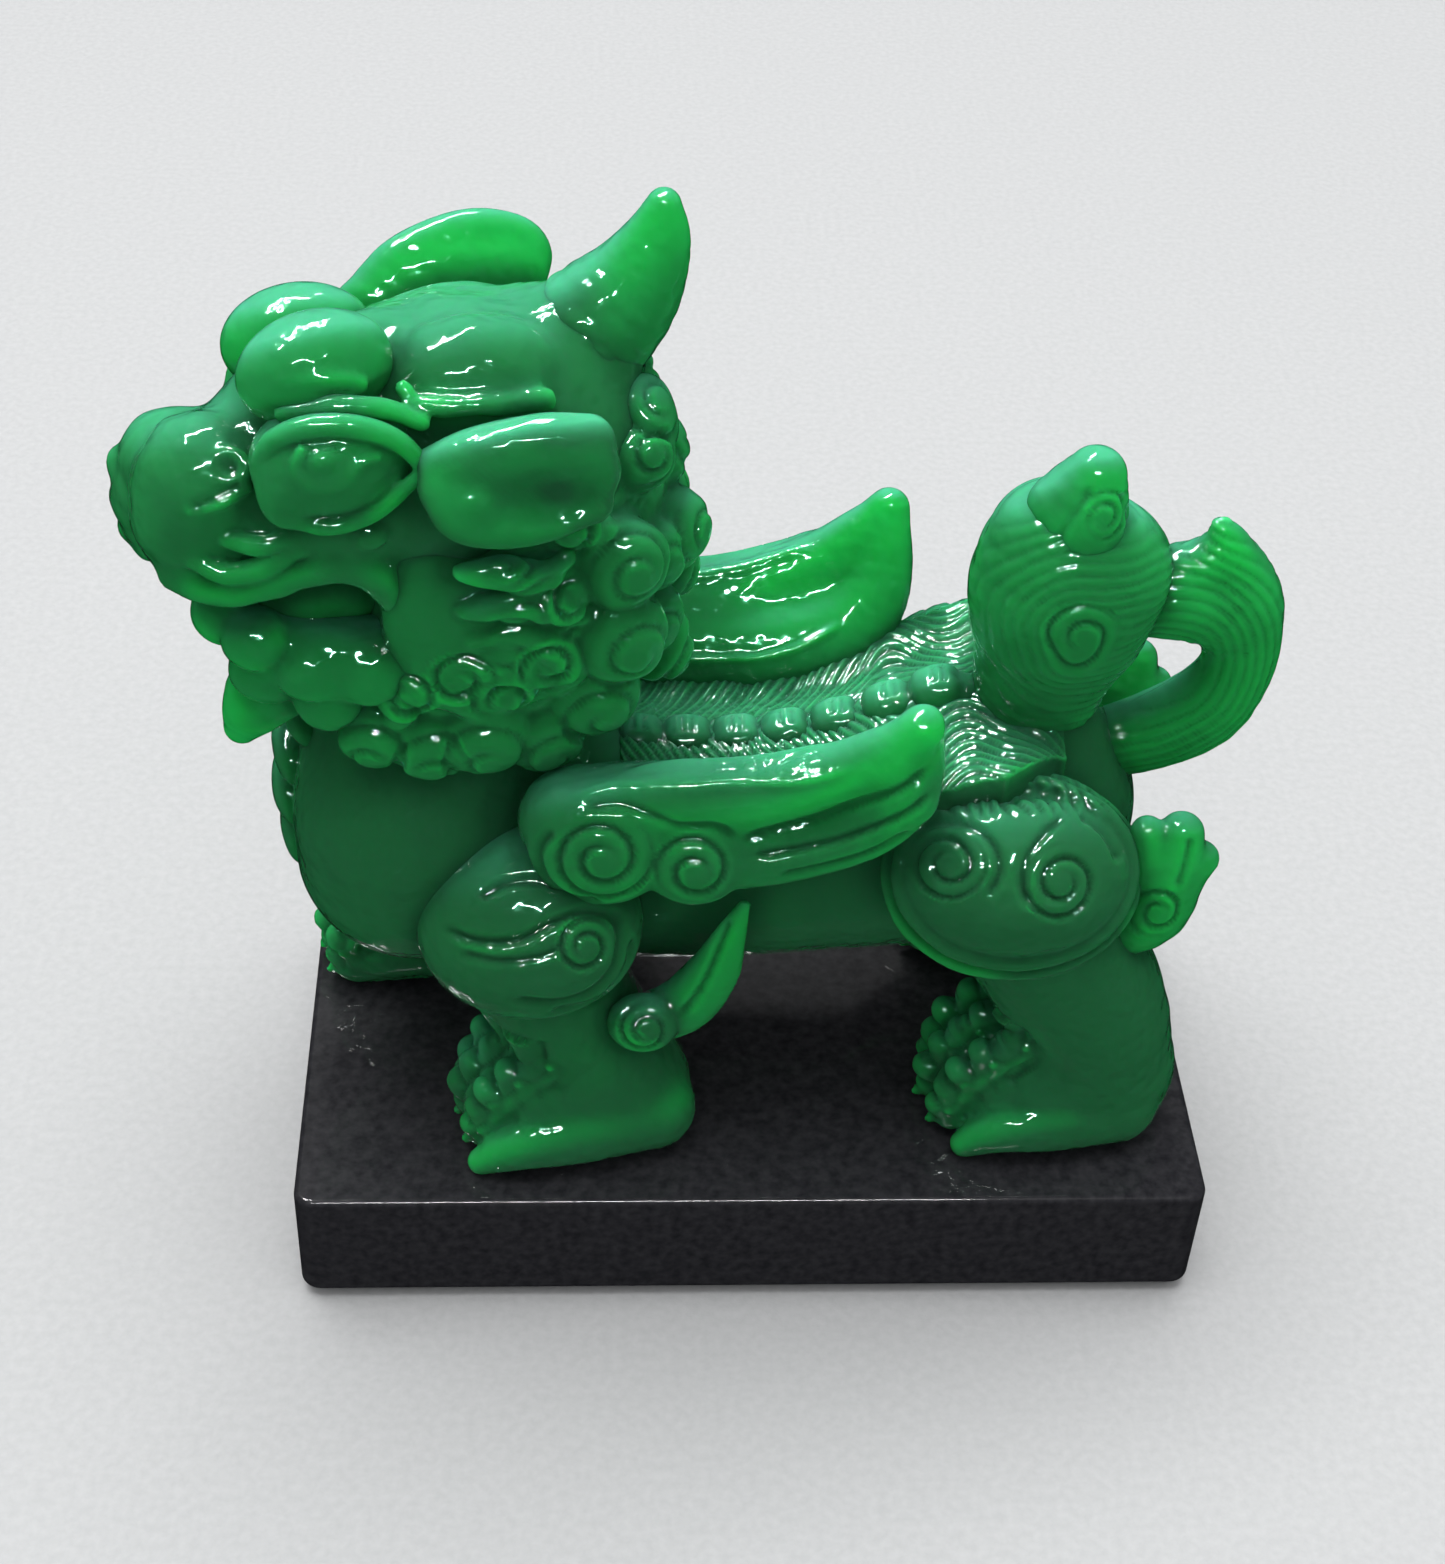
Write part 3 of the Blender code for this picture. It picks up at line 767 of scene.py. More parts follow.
def carve_fur(points, normals):
    """Strands swept outwards and back on each side of the spine, longer and looser over the rump."""
    x, side = points[:, 0], np.abs(points[:, 1])
    loose = ease(x, 12, 22)
    sweep = x * (0.95 - 0.35 * loose) - side * (0.62 + 0.25 * loose)
    strands = comb(sweep / (1.0 + 0.25 * loose) + 0.35 * waver(points, 2.2, 4), 0.42)
    tufts = comb(sweep / 5.2 + 0.1, 0.35) * ease(side, 3, 6)
    return (strands + tufts) * ease(normals[:, 2], 0.25, 0.6)


# ---------------------------------------------------------------- shoulders, haunches and paws
# A line is its width, its height (below zero for a furrow) and its points in the drawing. A swirl is
# its centre, radius, pitch, depth, hand and start.
SHOULDER = Stencil((-24, -16, 30), (0, -0.8, 0.6), (1, 0, 0))
SHOULDER_LINES = [
    (0.55, -0.8, (10.6, -1), (10.4, -3.6), (9, -6.4), (6, -8.6), (1.5, -9)),
    (0.5, -0.75, (8.8, 2.2), (9.2, -1.6), (8.4, -4.6), (6, -6.9), (2.5, -7.8), (-2.5, -7.2)),
    (0.55, -0.9, (-9.5, 0.6), (-6, -0.9), (-1.4, -0.8), (2, 0.9), (5.2, 1.9), (8.4, 1.2), (9.4, -0.8)),
    (0.5, -0.55, (-7.5, -2.2), (-3, -3), (1.2, -2.4), (3.2, -1.2)),
    (0.55, -0.7, (-5.5, 3.2), (-3, 4.8), (0.4, 5.2), (3.2, 4.2)),
]
SHOULDER_SWIRLS = [((5.6, -1.6), 3.2, 1.6, 0.75, -1, 0.1)]
HAUNCH = Stencil((25, -14, 38), (0, -0.8, 0.6), (1, 0, 0))
HAUNCH_LINES = [
    (0.5, -0.7, (5.2, 4.6), (2.6, 2.8), (0.6, 0.2), (0.1, -2.6), (1.2, -5.2)),
    (0.5, -0.7, (-10.6, 2), (-8.2, 3.4), (-5, 3.4), (-2.6, 1.4), (-2.2, -1.4), (-3.6, -4.2)),
    (0.5, -0.6, (-2, 5.6), (1.4, 6.6), (5.6, 6.2)),
    (0.6, -0.7, (6.6, 4.6), (9.4, 2.6), (11, -0.6)),
]
HAUNCH_SWIRLS = [((-7.2, -0.6), 3.9, 1.8, 0.75, 1, 0.2), ((4.4, -2.4), 4.3, 1.9, 0.75, -1, 0.6)]
FORE_LIMB = [
    (2.5, (-23, -13.5, 32, 9), (-22, -14.5, 20, 8), (-17, -15.2, 10, 7.4), (-15, -15.6, 4, 7.2)),
    (2.5, (-14, -16, 5, 7), (-22, -16.4, 7, 7.6), (-26.5, -15.6, 5, 6.4)),
]
RIGHT_LIMB = [
    (2.5, (-26, 12.5, 32, 9), (-28, 12.8, 20, 8), (-31, 12, 10, 7.4), (-31, 11.6, 4, 7.2)),
    (2.5, (-31, 11.5, 5, 7), (-38, 10.8, 7, 7.6), (-42.5, 10.2, 5, 6.4)),
]
HIND_LIMB = [
    (2.5, (25, -13, 36, 9.5), (30, -13.5, 27, 9), (36, -14, 17, 8.8), (39, -14.3, 8, 8)),
    (2.5, (39, -14.5, 4.5, 7.6), (32, -14.8, 6, 7.8), (26.5, -14.2, 5, 6.6)),
]
# each toe's y, the x of its tip and how far it is lifted
FORE_TOES = [(-12.4, -31, 0.6), (-16.6, -31.6, 0.3), (-20.8, -30.6, -0.4)]
RIGHT_TOES = [(5.4, -47.4, 0.6), (9.6, -48.6, 0.3), (13.8, -47.4, -0.4)]
HIND_TOES = [(-9.8, 20.4, 0.6), (-14, 19.8, 0.3), (-18.2, 20.8, -0.4)]
# how far back from a toe's tip each knuckle is, and its height
KNUCKLES = [(0.9, 5), (2.2, 9), (5, 12.4), (8.4, 15)]
# the low outer edge of each paw
FORE_SOLE = [(-29.8, -24.2, 1.4, 1.5), (-26, -23.8, 3.4, 2.7), (-19, -21.6, 4.2, 4.2), (-11, -18.8, 4.2, 4.8)]
RIGHT_SOLE = [(-46, 18, 1.4, 1.5), (-42, 17.4, 3.4, 2.7), (-35, 16, 4.2, 4.2), (-29, 14.6, 4.4, 4.8)]
RIGHT_INNER_SOLE = [(-44.6, 6.2, 2.4, 3), (-41, 6.6, 4, 4.2), (-35, 7.4, 4.6, 4.6)]
HIND_SOLE = [(23.4, -22, 1.4, 1.5), (27, -21.6, 3.4, 2.7), (34, -20, 4.2, 4.2), (40.5, -18.2, 4.4, 4.8)]


def above_plinth(x, y, z):
    return -0.02 - z


def limb_clay(limb, stencil, at, radii, blend, flip=1):
    """A leg that stands on the plinth, with the egg of its shoulder or haunch."""
    clay = Clay(limb, above_plinth)
    clay.egg(stencil.at(*at) * flip, radii, stencil.axes(flip), blend)
    return clay


def add_paw(clay, toes, sole):
    """Three toes, each a row of knuckles that climbs the foot and ends in a claw, then the sole's edge."""
    for y, x, lift in toes:
        clay.stroke([(x + 1.6, y, 2.8, 2.2), (x + 2.2, y, 6.6 + lift, 2.3), (x + 5.0, y, 10.6 + lift, 2.3),
                     (x + 8.4, y, 13.4 + lift, 2.2), (x + 11.5, y, 15.4, 2.0)], 0.5)
        for back, up in KNUCKLES:
            clay.egg((x + back, y - 0.3, up + lift), (1.75, 2.05, 1.7), blend=0.15)
        clay.stroke([(x + 0.9, y, 2.8, 1.3), (x - 0.9, y, 1.3, 0.5)], 0.4)
    clay.stroke(sole, 0.6)


def carve_knuckles(points, toes, heel):
    """Rows of small knuckles over the front of a paw. heel is the x of the middle of the curve they climb."""
    x, y, z = points[:, 0] - heel, points[:, 1], points[:, 2]
    climb = np.arctan2(z - 1.0, -x)
    first, last = toes[0][0], toes[-1][0]
    across = (y - first) / (last - first) * (len(toes) - 1)
    row = 10.5 * climb / 2.7 + 0.5 * np.rint(across)
    inside = ease(across, -0.75, -0.35) * (1 - ease(across, len(toes) - 0.65, len(toes) - 0.25))
    inside *= ease(climb, 0.05, 0.3) * (1 - ease(climb, 1.45, 1.75)) * (z < 18)
    bumps = np.abs(np.cos(math.pi * across)) ** 0.7 * np.abs(np.cos(math.pi * row)) ** 0.7
    return (1.5 * bumps - 0.6) * inside


def fore_leg_clay():
    clay = limb_clay(FORE_LIMB, SHOULDER, (-0.3, 0.2, 1.5), (11.9, 10.4, 9.4), 0.5)
    add_paw(clay, FORE_TOES, FORE_SOLE)
    return clay


def carve_shoulder(points, normals):
    lines = drawn(points, normals, SHOULDER, 14, (0.15, 0.45), SHOULDER_LINES, SHOULDER_SWIRLS)
    return lines + 0.1 * waver(points, 2.6, 2) + carve_knuckles(points, FORE_TOES, -20.5)


def right_leg_clay():
    """The right fore leg stands further forward than the left one."""
    clay = limb_clay(RIGHT_LIMB, SHOULDER, (-2.3, 0.2, 1.5), (11.9, 10.4, 9.4), 0.5, FLIP)
    add_paw(clay, RIGHT_TOES, RIGHT_SOLE)
    clay.stroke(RIGHT_INNER_SOLE, 1.0)
    return clay


def carve_right_shoulder(points, normals):
    across = carve_shoulder(points * FLIP + (2, 0, 0), normals * FLIP)
    return across + carve_knuckles(points, RIGHT_TOES, -37)


def hind_leg_clay():
    clay = limb_clay(HIND_LIMB, HAUNCH, (0.6, -1.9, 1.2), (12.3, 9.2, 8.8), 0.4)
    clay.ring(HAUNCH.at(0.6, -1.9, 3.2), HAUNCH.u, HAUNCH.v, 12.0, 9.3, 0.95, 0.5)
    clay.ring(HAUNCH.at(0.6, -2.3, 1.2), HAUNCH.u, HAUNCH.v, 12.9, 10.2, 0.9, 0.5)
    add_paw(clay, HIND_TOES, HIND_SOLE)
    return clay


def carve_haunch(points, normals):
    lines = drawn(points, normals, HAUNCH, 14, (0.15, 0.45), HAUNCH_LINES, HAUNCH_SWIRLS)
    u, v, shown = HAUNCH.lay(points, normals, 14, (0.15, 0.45))
    hair = comb((u + 0.5 * v + 0.6 * waver(points, 2.4, 17)) / 1.5, 0.5) * ease(v, 3.4, 5.4) * shown
    return lines + hair + 0.1 * waver(points, 2.6, 3) + carve_knuckles(points, HIND_TOES, 31)


FORE_TUFT = Stencil((-10, -20, 22), (0, -0.9, 0.45), (1, 0, 0))
FORE_FLAME = [(-13.5, -18, 17, 2.8), (-8.5, -18.6, 19.6, 3.4), (-5.2, -18.4, 24.5, 2.9),
              (-3.6, -18.2, 29.5, 1.8), (-2.2, -18, 34, 0.7)]
FORE_FLAME_LINES = [(0.45, -0.6, (1.2, -2), (3.6, 2), (5.2, 6.5), (6.4, 10.5))]
FORE_FLAME_SWIRLS = [((-2.2, -2.6), 3.1, 1.5, 0.7, -1, 0.3)]
HOCK = Stencil((42, -16, 34), (0, -0.85, 0.5), (1, 0, 0))
HOCK_LINES = [(0.5, -0.5, (0.5, 1), (1.2, 4), (1.5, 7))]
HOCK_SWIRLS = [((-1, -1.8), 3.2, 1.5, 0.6, 1, 0.4)]
HOCK_LOBES = [
    (0.8, (37.5, -14, 27.5, 4), (41.2, -14.4, 31, 4.4), (42.2, -14.6, 36.5, 3.8), (43, -14.6, 41, 2.4)),
    (0.7, (42, -14.6, 33.5, 3.4), (45.6, -14.6, 37.6, 1.9)),
    (0.7, (40, -14.6, 37, 3.2), (39.4, -14.6, 41.2, 1.8)),
]


def fore_tuft_clay():
    """A flame that curls out of a swirl behind the elbow."""
    clay = Clay()
    clay.egg(FORE_TUFT.at(-2.4, -2.6, -0.6), (3.9, 3.2, 3), FORE_TUFT.axes(), 0.4)
    clay.stroke(FORE_FLAME, 0.5, ((0, 1, 0), 0.75))
    return clay


def carve_fore_tuft(points, normals):
    return drawn(points, normals, FORE_TUFT, 8, (0.1, 0.45), FORE_FLAME_LINES, FORE_FLAME_SWIRLS)


def carve_hock_tuft(points, normals):
    return drawn(points, normals, HOCK, 9, (0.1, 0.45), HOCK_LINES, HOCK_SWIRLS)


# ---------------------------------------------------------------- wings
WING = Stencil((0, -18, 45), (0, -1, 0.25), (1, 0, 0))
WING_LINES = [
    (0.5, 0.55, (-20.6, 3.9), (-16, 5), (-7.4, 5.6), (2.4, 6.7), (8, 9)),
    (0.5, -0.75, (-3.5, -0.6), (0, 0.6), (5.3, 2.4), (11.2, 6.2), (15.4, 9.4)),
    (0.5, -0.75, (-2.4, -2.2), (2, -1.4), (7.4, 0.5), (12.6, 4), (15.8, 6.8)),
    (0.5, -0.7, (0.5, -4.6), (4.5, -3.6), (9.4, -1.6), (14, 1.8)),
    (0.5, -0.7, (-21.5, 1.6), (-23.4, -1.6), (-22.6, -5), (-20, -7), (-16.5, -7.4)),
    (0.5, -0.55, (-19, 3.6), (-15, 3.9), (-11.4, 2.6), (-9.4, 1.6), (-5.6, 1.4), (-3.2, -0.4)),
]
INNER_WING = Stencil((0, -14, 47), (0, 1, 0.25), (-1, 0, 0))
INNER_WING_LINES = [
    (0.45, 0.5, (18, 4.6), (10, 4.2), (2, 5.4), (-6, 8.2)),
    (0.45, 0.5, (17, -2.6), (8, -3), (-2, -2.2), (-10, 1.2)),
]
WING_SWIRLS = [((-17, -1.8), 5.6, 2.3, 0.85, 1, 0.35), ((-7.7, -3.3), 4.3, 2.1, 0.8, 1, 0.45)]
WING_ROWS = [
    (3, (-20, -14.5, 43, 5.2), (-8, -14, 43, 5.6), (4, -14, 44, 5.4), (11, -16, 47.5, 4.4),
     (13.6, -18, 52.5, 3)),
    (3, (-20, -17, 44.8, 4.6), (-12, -16.8, 47, 3.9), (-2, -17, 48.6, 3.5), (6, -17.6, 51.8, 3),
     (11.2, -18.4, 55.6, 2.5), (13.9, -18.8, 58.4, 1.8)),
    (2.5, (-10, -18.6, 41, 3.4), (0, -18.2, 41.4, 3.2), (9, -18.6, 44.8, 3), (13.4, -19.4, 50, 2.7)),
    (2, (0, -13, 43, 4.6), (9, -13.4, 44.4, 4.4), (13, -14.8, 49, 3.4), (14.2, -16.6, 54.5, 2.4),
     (14.3, -18.2, 58.6, 1.7)),
]


def wing_clay():
    """Two rolled scrolls at the shoulder, sweeping back into one upturned tip."""
    clay = Clay(WING_ROWS)
    clay.egg(WING.at(-17.0, -1.8, 0.9), (7.4, 6.5, 3.4), WING.axes(), 0.6)
    clay.egg(WING.at(-7.7, -3.2, 1.1), (5.4, 5.0, 2.9), WING.axes(), 0.6)
    return clay


def carve_wing(points, normals):
    outer = drawn(points, normals, WING, 9, (0.1, 0.4), WING_LINES, WING_SWIRLS)
    inner = drawn(points, normals, INNER_WING, 9, (0.1, 0.4), INNER_WING_LINES, [])
    return outer + inner + 0.06 * waver(points, 2.6, 5)


# ---------------------------------------------------------------- tail
TAIL = Stencil((35, 0, 60), (0, -1, 0.2), (1, 0, 0))
TAIL_PLUME = [
    (3, (29, 0, 50, 7), (29.5, 0, 56, 8), (29.5, 0, 62, 9.2), (28.5, 0, 67, 7)),
    (3, (31, 0, 60, 8.5), (33.5, 0, 64, 7.5)),
]
TAIL_FLAME = [
    (1.2, (30.4, -1, 67.4, 5.2), (30.3, -1, 71.6, 5), (31.4, -1, 76.1, 3.1)),
    (1.2, (28, -1, 69, 3.2), (27.7, -1, 72.6, 2.6)),
]
FLAME_LINES = [
    (0.45, -0.45, (-8, 8), (-6.6, 12), (-4.4, 16)),
    (0.45, -0.4, (-0.6, 7.6), (0.2, 11), (-1.2, 15)),
]
LOOP = [(37, 0, 41, 4), (42, 0, 42.8, 4.4), (47, 0, 46, 4.6), (49.6, 0, 51, 4), (49.6, 0, 56, 4.2),
        (48.6, 0, 61, 4.2), (46.6, 0, 66, 2.8), (45.3, 0, 69.3, 1.3)]
LOOP_FLOW = [(34, 62), (41, 63), (46.6, 61), (49.4, 55), (48.2, 48.4), (44, 44.6), (36, 41.6)]


def both_sides(points, normals, draw, reach):
    """The same drawing on both sides of the tail."""
    total = np.zeros(len(points))
    for flip in (1, FLIP):
        u, v, shown = TAIL.lay(points * flip, normals * flip, reach, (0.0, 0.3))
        total += draw(u, v) * shown
    return total


def plume_lines(u, v):
    """Hair combed round the curl at the tail's heart and away to the rear."""
    cu, cv = u + 4.4, v - 0.2
    r = np.where(cu > 0, np.hypot(np.minimum(cu, 0), cv), np.hypot(cu, cv))
    far = ease(np.hypot(cu, cv), 3.9, 4.6)
    return swirl(u, v, (-4.4, 0.2), 4.4, 2.1, 0.6, -1, 0.2) + comb(r / 1.15, 0.17) * far


def carve_plume(points, normals):
    bend = points + 0.6 * waver(points, 3.4, 6)[:, None]
    return both_sides(bend, normals, plume_lines, 12)


def curl_clay():
    """The loop behind the tail, and the two stubs that join it to the plume."""
    clay = Clay()
    clay.stroke(LOOP, 1.5, ((0, 1, 0), 0.92))
    clay.stroke([(38, 0, 60.5, 4), (44, 0, 60.4, 4.6), (47, 0, 59.4, 4.6)], 1.5)
    clay.stroke([(41, 0, 63, 3.5), (44, 0, 65, 2.6)], 1.5)
    return clay


def carve_curl(points, normals):
    """Strands that follow the loop round, out at the top and back in below."""
    offset, _ = line_offset(points[:, 0], points[:, 2], LOOP_FLOW)
    side = 0.35 + 0.65 * ease(np.abs(normals[:, 1]), 0.1, 0.4)
    return comb(offset / 1.15 + 0.4 * waver(points, 4, 7), 0.2) * side


def flame_lines(u, v):
    return swirl(u, v, (-3.0, 12.6), 3.0, 1.2, 0.5, 1) + line_marks(u, v, FLAME_LINES)


def carve_flame(points, normals):
    return both_sides(points, normals, flame_lines, 9)


# ---------------------------------------------------------------- head
# A roll on the head is its blend and then its balls, on the side where left is above zero.
SKULL = [
    (2.2, (-4, 0, 6, 14), (6, 0, 6, 13.5), (12, 0, 7, 12)),
    (2.2, (2, 0, 11, 9.4), (8, 0, 11, 8.4)),
    (2.2, (-3, 0, 8.5, 9.6), (-8.4, 0, 12.6, 7.6), (-11.4, 0, 15.8, 6.2), (-13.2, 0, 17.6, 5.2)),
    (2.2, (12, 0, 8, 9), (21, 0, 5, 7.4)),
    (2.2, (25.6, 4, 8.2, 6.2), (26.8, 4, 4.6, 6), (26.8, 4, 2.2, 4.8)),
    (2.2, (27.4, -3.4, 4.6, 5.8), (28.6, -3.4, 1.5, 5.2), (28.6, -3.2, -1.4, 4.4)),
    (2.2, (14, 6.6, 5, 5.6), (22, 5.5, 4, 4.4)),
    (2.2, (14, -6.6, 5, 5.6), (22, -5, 3, 4.6)),
]
NOSE_LUMPS = [(-5.4, 4.6), (-5, 1), (-4.6, -2.2), (3, 5), (3.6, 1.4), (-1, 3.4)]
MOUTH_SIDE = [(27.5, 4, -6.4, 3.6), (20, 8, -4.6, 4.6), (13.6, 11, -3.8, 3.8)]
MOUTH_MIDDLE = [(29, 0, -7.5, 4), (14, 0, -6, 5.4)]
TONGUE = [(0.5, (8, 3, -7.6, 3.4), (15, 4.6, -6.4, 3.4), (20.5, 4.8, -7.6, 2.6))]
LIP_ROLLS = [
    # the roll of the upper lip, drooping at the corner of the mouth, and two whisker folds above it
    (1.4, (29.5, 6.6, -0.6, 1.3), (26.6, 9, -0.8, 1.5), (22.6, 10.6, -0.2, 1.6), (18.6, 11.6, 1.4, 1.6),
     (15, 12.6, 2.4, 1.6), (12, 12.8, 1.2, 1.7), (10.4, 12.2, -1.6, 1.6), (9.6, 11.6, -4, 1.3)),
    (0.4, (27.8, 9.2, 3, 0.9), (25, 10.6, 1.9, 1.1), (22, 11.4, 2.4, 1.1), (18.4, 12, 4.6, 0.8)),
    (0.4, (24.6, 10.2, 5.2, 0.7), (21.6, 11.2, 4.9, 0.9), (18.6, 11.8, 5.6, 0.7)),
]
EYE_RIDGES = [
    # the fold behind the nostril, the ridge between brow and eye, and the ledge under the temple
    (0.4, (22.4, 9.2, 10.2, 0.8), (24.8, 9.8, 9.4, 0.9), (27.4, 9.4, 8.6, 0.7)),
    (0.6, (18.5, 9.6, 17.6, 0.9), (14.2, 10.8, 18.3, 1.1), (9.6, 11.4, 17.9, 1.1), (6.6, 12.4, 16.6, 0.9)),
    (0.6, (7.6, 9.6, 18.6, 0.8), (6.4, 10.6, 17.4, 0.9), (1.5, 11.6, 17.2, 1), (-5, 11, 16.6, 1)),
]
HEAD_SIDE = Stencil(HEAD_AT, 0.9 * LEFT + 0.44 * UP, -FORWARD)
CORNER_LINES = [(0.5, -0.5, (-22.6, 5.6), (-25, 4.6), (-27.6, 3.6))]


def head_clay():
    clay = Clay()
    clay.rolls(SKULL)
    for l, u in NOSE_LUMPS:
        clay.head_egg(32.0 - 0.25 * (l + 5), l, u, (1.7, 1.9, 1.7), blend=0.7)
    for side in (1, -1):
        clay.stroke(on_head(MOUTH_SIDE, side), 1.0, cut=True)
    clay.stroke(on_head(MOUTH_MIDDLE), 1.0, cut=True)
    clay.rolls(TONGUE)
    for side in (1, -1):
        add_face(clay, side)
    return clay


def add_face(clay, side):
    """The folds of one side of the face. On the far side the ones round the eye sit lower."""
    low = 0 if side > 0 else 5.5
    clay.head_egg(0.4, side * 5.2, 15.4 if side > 0 else 12.6, (8.8, 6.3, 6.6), blend=0.8)
    clay.rolls(LIP_ROLLS, side)
    # the nostril: a small rolled ring with a hollow
    right = 0.95 * FORWARD - 0.3 * side * LEFT
    up = 0.75 * UP - 0.6 * side * LEFT
    clay.ring(head_point(23.6, side * 8.3, 11.9 - low), right, up, 1.5, 1.4, 0.7, 0.4)
    clay.egg(head_point(23.8, side * 9.2, 12.3 - low), (0.8, 0.8, 0.8), blend=0.4, cut=True)
    clay.rolls(EYE_RIDGES, side, low)
    # the cheek, with a small knob
    clay.head_egg(13, side * 9.6, 6.4, (6.5, 4.4, 4.6), blend=1.5)
    clay.head_egg(12, side * 13.6, 6.2, (1.7, 1.2, 1.4), blend=0.4)


def carve_head(points, normals):
    lines = drawn(points, normals, HEAD_SIDE, 40, (0.1, 0.4), CORNER_LINES, [])
    return lines + 0.16 * waver(points, 1.7, 8)


JAW_ROLLS = [
    # the lip, the floor of the mouth and the beard
    (1.5, (6, 8.5, -12, 4.4), (13, 8.8, -11.6, 4.4), (19, 7, -10.8, 4.4), (21.6, 0, -11, 4.4),
     (18, -6.5, -11.6, 4.4), (12, -8, -12, 4.4), (6, -8.5, -12, 4.4)),
    (2, (8, 0, -13, 7), (16, 0, -13.6, 5.6)),
    (1, (18, 2.6, -15, 5), (22.2, 3.4, -18.6, 3.6), (24.4, 3.4, -22.2, 1.9)),
]
JAW_LOBES = [
    # forward, left, up, radii and blend: four along the lip, then three down the chin
    (24.6, 3.6, -7.4, (3.6, 4, 3.4), 0.8), (22.6, 8, -8.2, (3.4, 3.2, 3.2), 0.5),
    (17.8, 10.4, -11, (3.6, 2.8, 3), 0.5), (12.2, 11.4, -11.8, (3.6, 2.6, 3.2), 0.5),
    (21.4, 6.4, -12.8, (3.9, 3.6, 3.9), 0.5), (16.2, 9.2, -15.4, (3.6, 3.2, 3.6), 0.5),
    (20.4, 4.6, -17, (3.2, 3.2, 3.4), 0.5),
]
HORN = [(-9, 0, 13, 6.6), (-12, 0, 16.5, 6.2), (-15.8, 0, 20.4, 4.9), (-18.2, 0, 25, 3.3),
        (-18.9, 0, 28.7, 1.7)]


def jaw_clay():
    """The dropped lower jaw: a lip with rolled lobes, and the beard under it."""
    clay = Clay()
    clay.rolls(JAW_ROLLS)
    for side in (1, -1):
        for f, l, u, radii, blend in JAW_LOBES:
            clay.head_egg(f, side * l, u, radii, blend=blend)
    return clay


def horn_clay():
    clay = Clay()
    clay.stroke(on_head(HORN), 1)
    return clay


def carve_horn(points, normals):
    """Shallow folds round the root, fading up the horn."""
    along = (points - HEAD_AT) @ (UP - FORWARD) * 0.7071
    root = ease(along, 14, 17) * (1 - ease(along, 20, 26))
    return comb((along + 1.6 * waver(points, 3, 14)) / 2.6, 0.2) * root + 0.08 * waver(points, 2.4, 10)


EAR_TIP = [(-5.8, 16.4, 12.8, 4), (-6.8, 16.4, 12.2, 3.8)]
EAR_ROLLS = [
    (1.6, (6.2, 14.2, 13.6, 1.4), (1.8, 15.8, 15, 2.2), (-3.4, 16.2, 15.8, 2.4), (-7.8, 16.4, 15.9, 2)),
    (1, (-8.6, 16.8, 15.4, 1.5), (-8.9, 17.2, 12.2, 1.4), (-8.4, 17.8, 9.6, 1.4)),
    (1.4, (-7.8, 18, 8.8, 1.3), (-2.8, 18.6, 7.8, 1.3), (1.6, 18.4, 7.9, 1.4), (4.8, 17.4, 9, 1.6),
     (6.2, 16, 11.6, 1.6)),
]
RIGHT_EAR = [(6, -14.4, 11.6, 4.6), (0, -15.4, 13.4, 5.6), (-5, -15.8, 14.2, 5), (-7.4, -16, 14.4, 4.2)]
RIGHT_EAR_ROLLS = [
    (1.2, (8, -15, 12.6, 1.2), (3.5, -16.2, 17.4, 1.4), (-3.5, -16.8, 19.4, 1.5), (-9.2, -16.8, 18.2, 1.4),
     (-11, -16.8, 14.6, 1.2), (-7, -17.4, 10.6, 1.2), (0, -17.6, 9.4, 1.2)),
]


def ear_clay():
    """A blunt leaf with a thick roll along the top, a shallow hollow under it and a knob at its root."""
    clay = Clay()
    out = (0, 0.88, 0.47)
    along = (-0.99, 0.06, -0.11)
    turn = (along, out, np.cross(along, out))
    clay.head_egg(-0.8, 16.4, 12.0, (8.0, 2.3, 4.8), turn, 0.5)
    clay.stroke(on_head(EAR_TIP), 1.6, (out, 0.5))
    clay.rolls(EAR_ROLLS)
    clay.head_egg(-3.4, 20.0, 11.3, (5.2, 2.2, 2.4), turn, 1.2, cut=True)
    clay.head_egg(3.0, 18.0, 10.8, (1.7, 1.1, 1.6), blend=0.8)
    return clay


def right_ear_clay():
    clay = Clay()
    clay.stroke(on_head(RIGHT_EAR), 1, ((0, 1, 0), 0.6))
    clay.rolls(RIGHT_EAR_ROLLS)
    return clay


LIDS = [
    (0.3, (21, 10.6, 13.6, 0.8), (19.6, 11.4, 16.2, 1), (16.4, 12.2, 17.6, 1.1), (12.4, 12.9, 17.4, 1.1),
     (9, 13.5, 15.8, 1), (6.8, 14.2, 13.2, 0.8)),
    (0.6, (19.4, 12.6, 8.6, 0.7), (15.8, 14, 7.9, 0.8), (11.6, 14.6, 9.2, 0.8), (7.6, 14.6, 12.4, 0.7)),
]
PUPIL_RING = [
    (0.5, (17.6, 13.4, 16, 0.5), (18.2, 13.6, 14.2, 0.6), (16.6, 14.3, 12.6, 0.6), (14.2, 14.6, 12.9, 0.6),
     (12.6, 14.4, 14.6, 0.5), (11, 14.2, 14.8, 0.4)),
]
BROW_FOLDS = [
    (0.5, (18.4, 8.8, 20.6, 0.6), (14.6, 9.9, 20.8, 0.8), (11.4, 9.8, 19.8, 0.7), (13.6, 10.2, 18.9, 0.6),
     (16.6, 10, 18.8, 0.5)),
]


